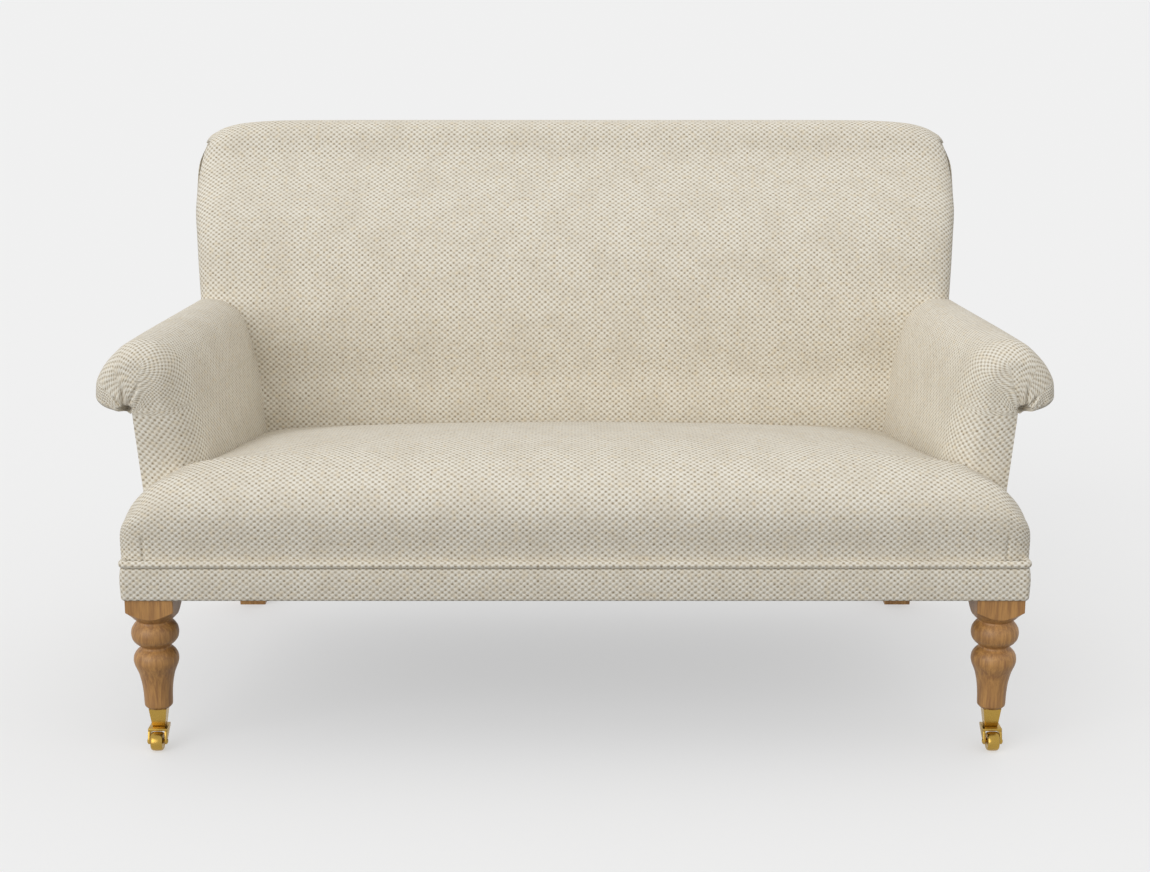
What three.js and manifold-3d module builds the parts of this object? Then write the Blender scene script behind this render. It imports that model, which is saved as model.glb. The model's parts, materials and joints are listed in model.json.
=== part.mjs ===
// A two-seat high back settee: a beech frame with a sprung seat, a swept back with a rolled top,
// scroll arms, turned oak front legs on brass castors and raked back legs.
// Lengths are in millimetres. The front looks along -Y, +Z is up, and left is -X.
// The pieces are placed from the front face of the seat's border, and the last lines centre them.
import * as THREE from "three";
import { mergeVertices } from "three/addons/utils/BufferGeometryUtils.js";
import Module from "manifold-3d";

const wasm = await Module();
wasm.setup();

// Clearances
const fit = 0.4;
const cutOverrun = 60;
const sameCorner = 1e-4;

// Seat
const underside = 252;
const seatHalfWidth = 696;
const seatDepth = 560;
const seatCrownHeight = 154.5;
const seatSideDrop = 107;
const seatRearDrop = 40;
const seatCornerRadius = 22;
const bandHeight = 50;
const bandThickness = 4;
const bandCornerRadius = 10;
const weltRadius = 6.5;
const weltProud = 3;

// Rails
const railHeight = 82;
const railThickness = 30;
const crossRailHeight = 60;
const crossRailWidth = 45;
const cornerBlockLeg = 62;
const cornerBlockHeight = 50;
const dustCoverThickness = 1.5;

// Springs, webbing and their cover
const springWireRadius = 2;
const springHalfWidth = 25;
const springCoverThickness = 1.5;
const strapWidth = 50;
const strapThickness = 2;

// Arms
const armSetback = 92;
const armInset = 118;
const armWidth = 168.5;
const armHeight = 296;
const armRearDip = 9;
const armSplay = 27;
const armFrontThickness = 22;
const armEdgeRadius = 52;
const armPadThickness = 30;
const armPanelThickness = 3;
const armPanelFlare = 10;
const armPostWidth = 36;
const armPostDepth = 36;
const armRailWidth = 49;
const armRailHeight = 30;
const armRailDrop = 38;
const armTackRailHeight = 36;
const armTackRailGap = 90;

// Back
const backHeight = 930;
const backInset = 16;
const backSideWrap = 35;
const backPadThickness = 125;
const backCrown = 9;
const backSweep = 178;
const backRollRadius = 47;
const backCornerDrop = 76;
const backEdgeRadius = 26;
const backLean = 67;
const backPanelThickness = 3;
const backPanelDrop = 20;
const uprightWidth = 48;
const uprightDepth = 50;
const uprightTopDepth = 43;
const uprightTopGap = 62;
const topRailHeight = 66;
const backRailThickness = 28;
const lowerRailGap = 84;
const lowerRailHeight = 60;
const stayWidth = 50;
const footRake = 58;
const footDepth = 48;

// Front legs
const blockSize = 72;
const blockSetback = 2.6;
const turningHeight = 156;
const beadRadius = 36.7;
const legChamfer = 4.3;

// Castors
const cupTopSize = 27;
const cupBottomSize = 20.5;
const cupHeight = 27;
const cupWall = 1.8;
const collarRadius = 9.5;
const collarThickness = 2.4;
const wheelRadius = 15;
const wheelWidth = 20;
const wheelRim = 2.5;
const castorTrail = 22;
const forkThickness = 4;
const forkRunningGap = 0.8;
const forkBossRadius = 5;
const axleRadius = 2;
const axleHeadRadius = 3.2;
const axleHeadHeight = 1;
const pintleRadius = 4;
const pintleLength = 14;
const screwRadius = 1.8;

// Numbers of facets, steps and waves
const legFacetCount = 20;
const castorFacetCount = 24;
const screwFacetCount = 12;
const weltFacetCount = 8;
const wireFacetCount = 4;
const cheekStepCount = 6;
const cornerStepCount = 5;
const armCurveStepCount = 26;
const springCount = 5;
const springHalfWaveCount = 12;
const pointsPerHalfWaveCount = 4;
const strapCount = 6;

// Levels that follow from the sizes above
const railBottom = underside + dustCoverThickness + fit;
const railTop = railBottom + railHeight;
const bandTop = underside + bandHeight;
const weltLevel = bandTop + fit + weltRadius;
const padLip = weltLevel + weltRadius + fit;
const springLevel = railTop + fit + springWireRadius;
const springCoverBottom = springLevel + springWireRadius + fit;
const padFloor = springCoverBottom + springCoverThickness + fit;
const forkTop = wheelRadius + wheelRadius + forkRunningGap + forkThickness;
const cupFloor = forkTop + fit;
const cupBottom = cupFloor + collarThickness;
const cupTop = cupBottom + cupHeight;

// Places that follow from the sizes above
const legX = seatHalfWidth - bandThickness - blockSetback - blockSize / 2;
const legY = bandThickness + blockSetback + blockSize / 2;
const legRear = legY + blockSize / 2;
const legInner = legX - blockSize / 2;
const frontRailFront = bandThickness + fit;
const frontRailRear = frontRailFront + railThickness;
const rebateRear = weltRadius + weltRadius - weltProud + fit;
const backHalfWidth = seatHalfWidth - backInset;
const uprightOuter = backHalfWidth - backSideWrap;
const uprightInner = uprightOuter - uprightWidth;
const uprightFoot = seatDepth + backPadThickness;
const uprightTop = backHeight - uprightTopGap;
const panelStart = armSetback + armFrontThickness;
const armInner = seatHalfWidth - armInset;
const armBase = railTop + fit;
const armRear = seatDepth - fit;
const sprungHalf = armInner - armSplay - fit;

const materials = {
  fabric: new THREE.MeshStandardMaterial({ color: 0xe2dac6, roughness: 0.95, metalness: 0 }),
  beech: new THREE.MeshStandardMaterial({ color: 0xd9b98a, roughness: 0.7, metalness: 0 }),
  oak: new THREE.MeshStandardMaterial({ color: 0xb0804e, roughness: 0.5, metalness: 0 }),
  brass: new THREE.MeshStandardMaterial({ color: 0xc9a24a, roughness: 0.25, metalness: 1 }),
  steel: new THREE.MeshStandardMaterial({ color: 0x8f9296, roughness: 0.4, metalness: 1 }),
  webbing: new THREE.MeshStandardMaterial({ color: 0x5a5148, roughness: 0.9, metalness: 0 }),
  cover: new THREE.MeshStandardMaterial({ color: 0x2b2a29, roughness: 0.95, metalness: 0 }),
};

const settee = new THREE.Group();

function add(name, geometry, material) {
  const mesh = new THREE.Mesh(geometry, material);
  mesh.name = name;
  settee.add(mesh);
}

// Makes the right-hand piece as drawn and its mirror image on the left.
function addPair(name, geometry, material) {
  add(name + "_right", geometry, material);
  const mesh = new THREE.Mesh(geometry, material);
  mesh.name = name + "_left";
  mesh.scale.x = -1;
  settee.add(mesh);
}

// Solids
function solidOf(geometry) {
  const bare = geometry.index ? geometry.toNonIndexed() : geometry.clone();
  bare.deleteAttribute("normal");
  bare.deleteAttribute("uv");
  const merged = mergeVertices(bare, sameCorner);
  return new wasm.Manifold(
    new wasm.Mesh({
      numProp: 3,
      vertProperties: new Float32Array(merged.attributes.position.array),
      triVerts: new Uint32Array(merged.index.array),
    }),
  );
}

function geometryOf(solid) {
  const mesh = solid.getMesh();
  const geometry = new THREE.BufferGeometry();
  geometry.setAttribute("position", new THREE.BufferAttribute(new Float32Array(mesh.vertProperties), 3));
  geometry.setIndex(new THREE.BufferAttribute(new Uint32Array(mesh.triVerts), 1));
  const flat = geometry.toNonIndexed();
  flat.computeVertexNormals();
  return flat;
}

function join(...geometries) {
  return geometryOf(geometries.map(solidOf).reduce((whole, next) => whole.add(next)));
}

function cut(geometry, ...tools) {
  return geometryOf(tools.map(solidOf).reduce((whole, tool) => whole.subtract(tool), solidOf(geometry)));
}

function common(a, b) {
  return geometryOf(solidOf(a).intersect(solidOf(b)));
}

function block(x0, x1, y0, y1, z0, z1) {
  const geometry = new THREE.BoxGeometry(x1 - x0, y1 - y0, z1 - z0);
  return geometry.translate((x0 + x1) / 2, (y0 + y1) / 2, (z0 + z1) / 2);
}

// A prism between two places along x, with an outline of [y, z] points, or along z, with one of [x, y].
function prism(points, from, to, axis) {
  const shape = new THREE.Shape(points.map(([a, b]) => new THREE.Vector2(a, b)));
  const geometry = new THREE.ExtrudeGeometry(shape, { depth: to - from, bevelEnabled: false });
  geometry.translate(0, 0, from);
  if (axis === "z") return geometry;
  const [right, rearwards, upwards] = [0, 1, 2].map((i) => new THREE.Vector3().setComponent(i, 1));
  return geometry.applyMatrix4(new THREE.Matrix4().makeBasis(rearwards, upwards, right));
}

// A closed skin through rings of equally many points, with a flat cap on the first and last ring.
function loft(rings) {
  const count = rings[0].length;
  const positions = [];
  const face = (a, b, c) => positions.push(...a, ...b, ...c);
  for (let i = 0; i + 1 < rings.length; i++) {
    for (let j = 0; j < count; j++) {
      const k = (j + 1) % count;
      face(rings[i][j], rings[i][k], rings[i + 1][k]);
      face(rings[i][j], rings[i + 1][k], rings[i + 1][j]);
    }
  }
  for (const [ring, flip] of [[rings[0], true], [rings[rings.length - 1], false]]) {
    for (const [a, b, c] of capTriangles(ring)) {
      if (flip) face(ring[a], ring[c], ring[b]);
      else face(ring[a], ring[b], ring[c]);
    }
  }
  const geometry = new THREE.BufferGeometry();
  geometry.setAttribute("position", new THREE.Float32BufferAttribute(positions, 3));
  const solid = solidOf(geometry);
  return solid.volume() < 0 ? geometryOf(solidOf(turnedInsideOut(geometry))) : geometryOf(solid);
}

// A closed skin round stations of front and rear points, paired level by level.
function pairedSkin(stations) {
  const positions = [];
  const patch = (a, b, c, d) => positions.push(...a, ...b, ...c, ...a, ...c, ...d);
  const levels = stations[0].length;
  const last = stations[stations.length - 1];
  for (let i = 0; i + 1 < stations.length; i++) {
    const [here, next] = [stations[i], stations[i + 1]];
    for (let j = 0; j + 1 < levels; j++) {
      patch(here[j].front, next[j].front, next[j + 1].front, here[j + 1].front);
      patch(next[j].rear, here[j].rear, here[j + 1].rear, next[j + 1].rear);
    }
    patch(here[0].rear, next[0].rear, next[0].front, here[0].front);
    patch(here[levels - 1].front, next[levels - 1].front, next[levels - 1].rear, here[levels - 1].rear);
  }
  for (let j = 0; j + 1 < levels; j++) {
    patch(stations[0][j].rear, stations[0][j].front, stations[0][j + 1].front, stations[0][j + 1].rear);
    patch(last[j].front, last[j].rear, last[j + 1].rear, last[j + 1].front);
  }
  const geometry = new THREE.BufferGeometry();
  geometry.setAttribute("position", new THREE.Float32BufferAttribute(positions, 3));
  return solidOf(geometry).volume() < 0 ? turnedInsideOut(geometry) : geometry;
}

function turnedInsideOut(geometry) {
  const turned = geometry.clone();
  const corners = turned.attributes.position;
  for (let i = 0; i < corners.count; i += 3) {
    const second = new THREE.Vector3().fromBufferAttribute(corners, i + 1);
    const third = new THREE.Vector3().fromBufferAttribute(corners, i + 2);
    corners.setXYZ(i + 1, ...third.toArray());
    corners.setXYZ(i + 2, ...second.toArray());
  }
  return turned;
}

// Triangles of a flat ring, seen along the axis that the ring spans least.
function capTriangles(ring) {
  const box = new THREE.Box3().setFromPoints(ring.map((p) => new THREE.Vector3(...p)));
  const size = box.getSize(new THREE.Vector3()).toArray();
  const thin = size.indexOf(Math.min(...size));
  const [a, b] = [0, 1, 2].filter((axis) => axis !== thin);
  const outline = ring.map((p) => new THREE.Vector2(p[a], p[b]));
  const turned = THREE.ShapeUtils.isClockWise(outline);
  const order = outline.map((_, i) => (turned ? outline.length - 1 - i : i));
  const faces = THREE.ShapeUtils.triangulateShape(order.map((i) => outline[i]), []);
  return faces.map((f) => {
    const [i, j, k] = f.map((n) => order[n]);
    return turned ? [i, k, j] : [i, j, k];
  });
}

// Smooth steps and roundings
const mix = (a, b, t) => a + (b - a) * t;
const clamp01 = (t) => Math.min(1, Math.max(0, t));
const smooth = (t) => clamp01(t) ** 2 * (3 - 2 * clamp01(t));

// How far a rounded edge of this radius falls back, at a distance in from the side.
function roundOff(distance, radius) {
  const inside = clamp01(1 - distance / radius);
  return radius * (1 - Math.sqrt(1 - inside ** 2));
}

// A value read off a table of [place share, value share] pairs, with straight lines between.
function readShares(table, place) {
  const last = table[table.length - 1];
  if (place <= table[0][0]) return table[0][1];
  if (place >= last[0]) return last[1];
  const i = table.findIndex(([at]) => at >= place);
  const [a, va] = table[i - 1];
  const [b, vb] = table[i];
  return mix(va, vb, (place - a) / (b - a));
}

// Lean of the back frame: where the front and rear faces of an upright lie at a height.
function uprightFront(z) {
  return uprightFoot + (backLean * (z - underside)) / (uprightTop - underside);
}

function uprightRear(z) {
  const rearLean = backLean + uprightTopDepth - uprightDepth;
  return uprightFoot + uprightDepth + (rearLean * (z - underside)) / (uprightTop - underside);
}

// Sideways shift of the arm, which splays out towards the front.
const armShift = (y) => (-armSplay * (y - armSetback)) / (armRear - armSetback);

// Outer face of the outside arm panel: flared under the scroll at the front, upright at the back.
function armPanelOuter(y, z) {
  const back = uprightOuter + fit + armPanelThickness;
  const armTopOfPanel = armBase + armHeight * armScrollFootShare[1];
  const frontTop = armInner + armWidth * armScrollFootShare[0];
  const frontBottom = back + armPanelFlare;
  const up = (z - underside) / (armTopOfPanel - underside);
  const along = (y - armSetback) / (uprightRear(underside) - armSetback);
  return mix(mix(frontBottom, frontTop, up), mix(back, back + armPanelFlare * up, up), clamp01(along));
}

// Shares of the arm's width and rise, from the foot of the inner face over the scroll.
const armOutlineShares = [
  [0, 0],
  [0.006, 0.148],
  [0.033, 0.357],
  [0.095, 0.587],
  [0.16, 0.773],
  [0.249, 0.904],
  [0.356, 0.964],
  [0.475, 0.992],
  [0.593, 1],
  [0.712, 0.982],
  [0.831, 0.928],
  [0.932, 0.857],
  [0.988, 0.779],
  [1, 0.715],
  [0.95, 0.68],
  [0.843, 0.66],
  [0.724, 0.653],
];
const armScrollFootShare = [0.632, 0.648];
// How far the arm's front edge is rounded, by share of the way round its outline.
const armRoundingShares = [
  [0, 0.08],
  [0.22, 0.28],
  [0.4, 0.9],
  [0.6, 0.8],
  [0.8, 0.4],
  [0.94, 0.25],
  [1, 0],
];
const armFaceShare = 0.6;

// Shares of the seat's depth and crown height, from the lip at the front to the back.
const seatProfileShares = [
  [0.012, 0],
  [0.006, 0.1],
  [0.005, 0.31],
  [0.007, 0.43],
  [0.015, 0.54],
  [0.029, 0.65],
  [0.05, 0.75],
  [0.08, 0.83],
  [0.12, 0.895],
  [0.18, 0.95],
  [0.27, 0.985],
  [0.37, 1],
  [0.48, 0.985],
  [0.6, 0.94],
  [0.72, 0.865],
  [0.84, 0.76],
  [0.94, 0.64],
  [1, 0.56],
];
// Where the rear drop takes over from the shoulder's, and over what run, as shares of the seat's depth.
const seatRearDropShares = [0.16, 0.2];
// How far back, as a share of the seat's depth, its rounded front corners reach.
const seatCornerShare = 0.1;
// Drop of the seat's shoulder towards the side, by share of the half width.
const seatShoulderShares = [
  [0, 0],
  [0.6, 0.05],
  [0.83, 0.13],
  [0.88, 0.2],
  [0.92, 0.32],
  [0.966, 0.53],
  [0.985, 0.7],
  [0.994, 0.82],
  [1, 1],
];
// Sweep of the back's face behind the seat depth, by share of the face's height.
const backProfileShares = [
  [0, 0],
  [0.14, 0],
  [0.25, 0.005],
  [0.38, 0.005],
  [0.505, 0.027],
  [0.605, 0.11],
  [0.68, 0.217],
  [0.745, 0.337],
  [0.8, 0.5],
  [0.857, 0.674],
  [0.91, 0.826],
  [0.96, 0.935],
  [1, 1],
];
// Half width of the back above the uprights' outer faces, by share of the face's height.
const backWidthShares = [
  [0, 0],
  [0.34, 0],
  [0.505, 0.55],
  [0.6, 0.72],
  [0.68, 0.88],
  [0.8, 1],
  [1, 1],
];
// Drop of the back's top towards its corners, by share of the half width.
const backCornerShares = [
  [0, 0],
  [0.76, 0.08],
  [0.89, 0.15],
  [0.937, 0.25],
  [0.973, 0.41],
  [0.988, 0.64],
  [1, 1],
];
const backCrownShares = [
  [0.14, 0],
  [0.24, 0.5],
  [0.34, 1],
  [0.8, 1],
  [0.9, 0.5],
  [1, 0],
];
// Where the drop towards the corners starts, and over what run it comes in.
const backDropShares = [0.78, 0.22];
const backFaceTopShare = 0.25;
// Angles of the roll's front and rear points, in degrees, and of the rear points below them.
const backRollAngles = [
  [143, 20],
  [126, 42],
  [111, 63],
  [98, 82],
];
const backRollRearAngles = [-30, -5];
const seatStationShares = [0, 0.14, 0.28, 0.42, 0.56, 0.7, 0.79, 0.85, 0.9, 0.935, 0.962, 0.98, 0.992, 1];
const backStationShares = [0, 0.17, 0.34, 0.5, 0.64, 0.76, 0.85, 0.91, 0.95, 0.975, 0.99, 1];

function bothSides(shares) {
  const mirrored = shares.slice(1).map((share) => -share);
  return [...mirrored.reverse(), ...shares];
}

// Seat frame
// The front rail is rebated along its top front edge, where the welt lies.
function frontRail() {
  const outline = [
    [frontRailFront, railBottom],
    [frontRailRear, railBottom],
    [frontRailRear, railTop],
    [rebateRear, railTop],
    [rebateRear, bandTop],
    [frontRailFront, bandTop],
  ];
  return prism(outline, fit - legInner, legInner - fit, "x");
}

// A piece between two places along x and two levels that leans with the uprights, behind their front faces.
function leaningPiece(x0, x1, z0, z1, inset, thickness) {
  const outline = [
    [uprightFront(z0) + inset, z0],
    [uprightFront(z0) + inset + thickness, z0],
    [uprightFront(z1) + inset + thickness, z1],
    [uprightFront(z1) + inset, z1],
  ];
  return prism(outline, x0, x1, "x");
}

// A rail between the uprights, behind the webbing straps.
function leaningRail(z0, z1, thickness) {
  return leaningPiece(-backRailInner, backRailInner, z0, z1, railInset, thickness);
}

const railInset = strapThickness + fit + fit;
const backRailInner = uprightInner - fit;
const lowerRailBottom = railTop + lowerRailGap;
const lowerRailTop = lowerRailBottom + lowerRailHeight;
const topRailBottom = uprightTop - topRailHeight;

function centreStay() {
  const half = stayWidth / 2;
  return leaningPiece(-half, half, lowerRailTop + fit, topRailBottom - fit, railInset, backRailThickness);
}

function sideRail() {
  const outerFront = armPanelOuter(legRear, railBottom) - armPanelThickness - fit;
  const rear = uprightFront(railBottom) - fit;
  const outline = [
    [outerFront, legRear + fit],
    [uprightOuter, rear],
    [uprightOuter - railThickness, rear],
    [outerFront - railThickness, legRear + fit],
  ];
  return prism(outline, railBottom, railTop, "z");
}

function seatCrossRail() {
  const half = crossRailWidth / 2;
  const front = frontRailRear + fit;
  const rear = uprightFront(railBottom) + railInset - fit;
  return block(-half, half, front, rear, railBottom, railBottom + crossRailHeight);
}

function cornerBlock(cornerX, cornerY, inwardY) {
  const outline = [
    [cornerX, cornerY],
    [cornerX - cornerBlockLeg, cornerY],
    [cornerX, cornerY + inwardY * cornerBlockLeg],
  ];
  return prism(outline, railBottom, railBottom + cornerBlockHeight, "z");
}

function rearLeg() {
  const footFront = uprightFoot + footRake;
  const outline = [
    [footFront, 0],
    [footFront + footDepth, 0],
    [uprightRear(underside), underside],
    [uprightRear(uprightTop), uprightTop],
    [uprightFront(uprightTop), uprightTop],
    [uprightFront(underside), underside],
  ];
  return prism(outline, uprightInner, uprightOuter, "x");
}

// Front leg: turned beads and vase below a square block whose lower edge is cut to an arc.
// Shares of the turning's height and of the bead radius, upwards from the castor cup.
const legTurningShares = [
  [0.04, 0.594],
  [0.16, 0.61],
  [0.277, 0.654],
  [0.383, 0.755],
  [0.45, 0.886],
  [0.52, 0.953],
  [0.583, 0.915],
  [0.63, 0.79],
  [0.655, 0.65],
  [0.672, 0.68],
  [0.712, 0.86],
  [0.757, 0.967],
  [0.804, 1],
  [0.85, 0.955],
  [0.89, 0.84],
  [0.91, 0.741],
  [0.93, 0.75],
];
// The flare that rounds the block's lower corners, in shares of the block's half diagonal.
const legFlareShares = [
  [0.93, 0.55],
  [0.965, 0.64],
  [1, 0.707],
  [1.04, 0.85],
  [1.08, 1.02],
];

function frontLeg() {
  const halfDiagonal = blockSize * Math.SQRT1_2;
  const blockTop = bandTop;
  const seat = cupTop + fit;
  const level = (share) => seat + turningHeight * share;
  const chamferRadius = beadRadius * legTurningShares[0][1] - legChamfer;
  const turning = [
    [0, seat],
    [chamferRadius, seat],
    ...legTurningShares.map(([up, out]) => [beadRadius * out, level(up)]),
    [0, level(legTurningShares[legTurningShares.length - 1][0])],
  ];
  const flare = [
    [0, level(legFlareShares[0][0]) - fit],
    [halfDiagonal * legFlareShares[0][1], level(legFlareShares[0][0]) - fit],
    ...legFlareShares.slice(1).map(([up, out]) => [halfDiagonal * out, level(up)]),
    [halfDiagonal * legFlareShares[legFlareShares.length - 1][1], blockTop],
    [0, blockTop],
  ];
  const blockHalf = blockSize / 2;
  const square = block(-blockHalf, blockHalf, -blockHalf, blockHalf, cupTop, blockTop);
  const tenonGap = cupWall + fit;
  const tenonTop = cupTopSize - tenonGap * 2;
  const tenonBottom = cupBottomSize - tenonGap * 2;
  const tenon = squareTaper(tenonTop, tenonBottom, cupBottom + cupWall + fit, seat + fit);
  const turned = join(lathe(turning, legFacetCount), common(lathe(flare, legFacetCount), square), tenon);
  return cut(turned, pintleBore(), screwHole()).translate(legX, legY, 0);
}

function lathe(points, segments) {
  const profile = points.map(([r, z]) => new THREE.Vector2(r, z));
  return new THREE.LatheGeometry(profile, segments).rotateX(Math.PI / 2);
}

// A rod along Z between two heights.
function rod(radius, z0, z1, segments) {
  const geometry = new THREE.CylinderGeometry(radius, radius, z1 - z0, segments);
  return geometry.rotateX(Math.PI / 2).translate(0, 0, (z0 + z1) / 2);
}

function squareTaper(topSize, bottomSize, z0, z1) {
  const geometry = new THREE.CylinderGeometry(topSize * Math.SQRT1_2, bottomSize * Math.SQRT1_2, z1 - z0, 4);
  return geometry.rotateY(Math.PI / 4).rotateX(Math.PI / 2).translate(0, 0, (z0 + z1) / 2);
}

// Castor, drawn about its own swivel axis
const screwLevelShare = 0.62;
const screwLevel = cupBottom + cupHeight * screwLevelShare;

function pintleBore() {
  return rod(pintleRadius + fit, cupFloor - fit, forkTop + pintleLength + fit, castorFacetCount);
}

function screwHole() {
  const hole = rod(screwRadius + fit, 0, cupTopSize, screwFacetCount);
  return hole.rotateX(-Math.PI / 2).translate(0, 0, screwLevel);
}

function castorCup() {
  const outer = squareTaper(cupTopSize, cupBottomSize, cupBottom, cupTop);
  const hollowTop = cupTopSize - cupWall * 2;
  const hollowBottom = cupBottomSize - cupWall * 2;
  const hollow = squareTaper(hollowTop, hollowBottom, cupBottom + cupWall, cupTop);
  const mouth = squareTaper(hollowTop, hollowTop, cupTop - fit, cupTop + cutOverrun);
  const collar = rod(collarRadius, cupFloor, cupBottom + cupWall / 2, castorFacetCount);
  return cut(join(outer, collar), hollow, mouth, pintleBore(), screwHole()).translate(legX, legY, 0);
}

// The screw runs from the cup's rear face to just short of the pintle's bore.
function castorScrew() {
  const cupHalfAtScrew = mix(cupBottomSize, cupTopSize, screwLevelShare) / 2;
  const shank = rod(screwRadius, pintleRadius + fit + fit, cupHalfAtScrew + fit, screwFacetCount);
  return shank.rotateX(-Math.PI / 2).translate(legX, legY, screwLevel);
}

function castorFork() {
  const halfInner = wheelWidth / 2 + forkRunningGap;
  const halfOuter = halfInner + forkThickness;
  const bridgeFront = -castorTrail - forkBossRadius;
  const bridge = block(-halfOuter, halfOuter, bridgeFront, collarRadius, forkTop - forkThickness, forkTop);
  const boss = [];
  for (let i = 0; i <= cheekStepCount; i++) {
    const angle = Math.PI + (Math.PI * i) / cheekStepCount;
    const [back, up] = [forkBossRadius * Math.cos(angle), forkBossRadius * Math.sin(angle)];
    boss.push([back - castorTrail, up + wheelRadius]);
  }
  const rearTop = [collarRadius, forkTop];
  const rearBottom = [collarRadius, forkTop - forkThickness];
  const cheekOutline = [[bridgeFront, forkTop], ...boss, rearBottom, rearTop];
  const cheek = prism(cheekOutline, halfInner, halfOuter, "x");
  const otherCheek = prism(cheekOutline, -halfOuter, -halfInner, "x");
  const pintle = rod(pintleRadius, forkTop - fit, forkTop + pintleLength, castorFacetCount);
  const hole = acrossRod(axleRadius + fit, -halfOuter - cutOverrun, halfOuter + cutOverrun);
  return cut(join(bridge, cheek, otherCheek, pintle), hole).translate(legX, legY, 0);
}

// A rod along X at the wheel's centre.
function acrossRod(radius, x0, x1) {
  return rod(radius, x0, x1, castorFacetCount).rotateY(Math.PI / 2).translate(0, -castorTrail, wheelRadius);
}

function castorAxle() {
  const halfOuter = wheelWidth / 2 + forkRunningGap + forkThickness;
  const shank = acrossRod(axleRadius, -halfOuter - fit - axleHeadHeight, halfOuter + fit + axleHeadHeight);
  const head = acrossRod(axleHeadRadius, halfOuter + fit, halfOuter + fit + axleHeadHeight);
  const otherHead = acrossRod(axleHeadRadius, -halfOuter - fit - axleHeadHeight, -halfOuter - fit);
  return join(shank, head, otherHead).translate(legX, legY, 0);
}

function castorWheel() {
  const half = wheelWidth / 2;
  const bore = axleRadius + fit;
  const profile = [
    [bore, -half],
    [wheelRadius - wheelRim, -half],
    [wheelRadius, -half + wheelRim],
    [wheelRadius, half - wheelRim],
    [wheelRadius - wheelRim, half],
    [bore, half],
    [bore, -half],
  ];
  const wheel = lathe(profile, castorFacetCount).rotateY(Math.PI / 2);
  return wheel.translate(legX, legY - castorTrail, wheelRadius);
}

// Arm frame
function armPost() {
  const y0 = panelStart + fit;
  const outer = armPanelOuter(y0 + armPostDepth, railTop) - armPanelThickness - fit;
  return block(outer - armPostWidth, outer, y0, y0 + armPostDepth, railTop + fit, armRailBottom - fit);
}

const armRailTop = armBase + armHeight - armRailDrop;
const armRailBottom = armRailTop - armRailHeight;
const armRailInner = armInner + armPadThickness + armPadThickness;

// A rail that follows the arm's splay, from behind the arm's front to the upright.
function splayedRail(inner, width, z0, z1, y0) {
  const rear = uprightFront(z0) - fit;
  const outline = [
    [inner + armShift(y0), y0],
    [inner + width + armShift(y0), y0],
    [inner + width + armShift(rear), rear],
    [inner + armShift(rear), rear],
  ];
  return prism(outline, z0, z1, "z");
}

function armTopRail() {
  return splayedRail(armRailInner, armRailWidth, armRailBottom, armRailTop, panelStart + fit);
}

const armTackInner = armInner + armPadThickness + fit;
const armTackBottom = railTop + armTackRailGap;

function armTackRail() {
  const y0 = panelStart + fit + armPostDepth + fit;
  return splayedRail(armTackInner, railThickness, armTackBottom, armTackBottom + armTackRailHeight, y0);
}

// Seat springs: flat zigzag wires from the front rail to the back rail.
function seatSpring(x) {
  const y0 = frontRailRear - railThickness / 2;
  const y1 = uprightFront(railTop) + railInset + railThickness / 2;
  const steps = springHalfWaveCount * pointsPerHalfWaveCount;
  const points = [];
  for (let i = 0; i <= steps; i++) {
    const across = springHalfWidth * Math.sin((Math.PI * i) / pointsPerHalfWaveCount);
    points.push(new THREE.Vector3(x + across, mix(y0, y1, i / steps), springLevel));
  }
  const section = new THREE.Shape();
  for (let i = 0; i < wireFacetCount; i++) {
    const angle = (Math.PI * 2 * i) / wireFacetCount;
    const corner = [springWireRadius * Math.cos(angle), springWireRadius * Math.sin(angle)];
    if (i) section.lineTo(...corner);
    else section.moveTo(...corner);
  }
  const extrudePath = new THREE.CatmullRomCurve3(points);
  return new THREE.ExtrudeGeometry(section, { steps, bevelEnabled: false, extrudePath });
}

function springCover() {
  const front = rebateRear;
  const rear = uprightFront(railTop) + railInset + railThickness;
  const top = springCoverBottom + springCoverThickness;
  return block(-sprungHalf, sprungHalf, front, rear, springCoverBottom, top);
}

function backStrap(x) {
  const z0 = lowerRailBottom + lowerRailHeight / 2;
  const z1 = topRailBottom + topRailHeight / 2;
  return leaningPiece(x - strapWidth / 2, x + strapWidth / 2, z0, z1, fit, strapThickness);
}

// Upholstery
function seatPad() {
  const place = (share, [back, up]) => {
    const x = seatHalfWidth * share;
    const side = seatHalfWidth * (1 - Math.abs(share));
    const outwards = clamp01(Math.abs(x) / armInner) ** 2;
    const rearDrop = seatRearDrop * outwards * outwards;
    const shoulder = seatSideDrop * readShares(seatShoulderShares, Math.abs(share));
    const [rearStart, rearRun] = seatRearDropShares;
    const drop = mix(shoulder, Math.max(shoulder, rearDrop), smooth((back - rearStart) / rearRun));
    const raised = up - (drop / seatCrownHeight) * clamp01(up);
    const fallBack = roundOff(side, seatCornerRadius) * smooth(1 - back / seatCornerShare);
    const y = seatDepth * back - (back === 1 ? fit : 0) + fallBack;
    return [x, y, padLip + seatCrownHeight * Math.max(0, raised)];
  };
  const loop = [...seatProfileShares, [1, 0]];
  const rings = bothSides(seatStationShares).map((share) => loop.map((point) => place(share, point)));
  const rearEdge = seatDepth + cutOverrun;
  const frameFront = rebateRear - fit;
  const low = padLip - cutOverrun;
  const far = seatHalfWidth + cutOverrun;
  const overRails = block(-legInner, legInner, frameFront, rearEdge, low, padFloor);
  const behindLegs = block(-far, far, legRear, rearEdge, low, padFloor);
  return cut(loft(rings), overRails, behindLegs, armNotch(1), armNotch(-1));
}

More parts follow.
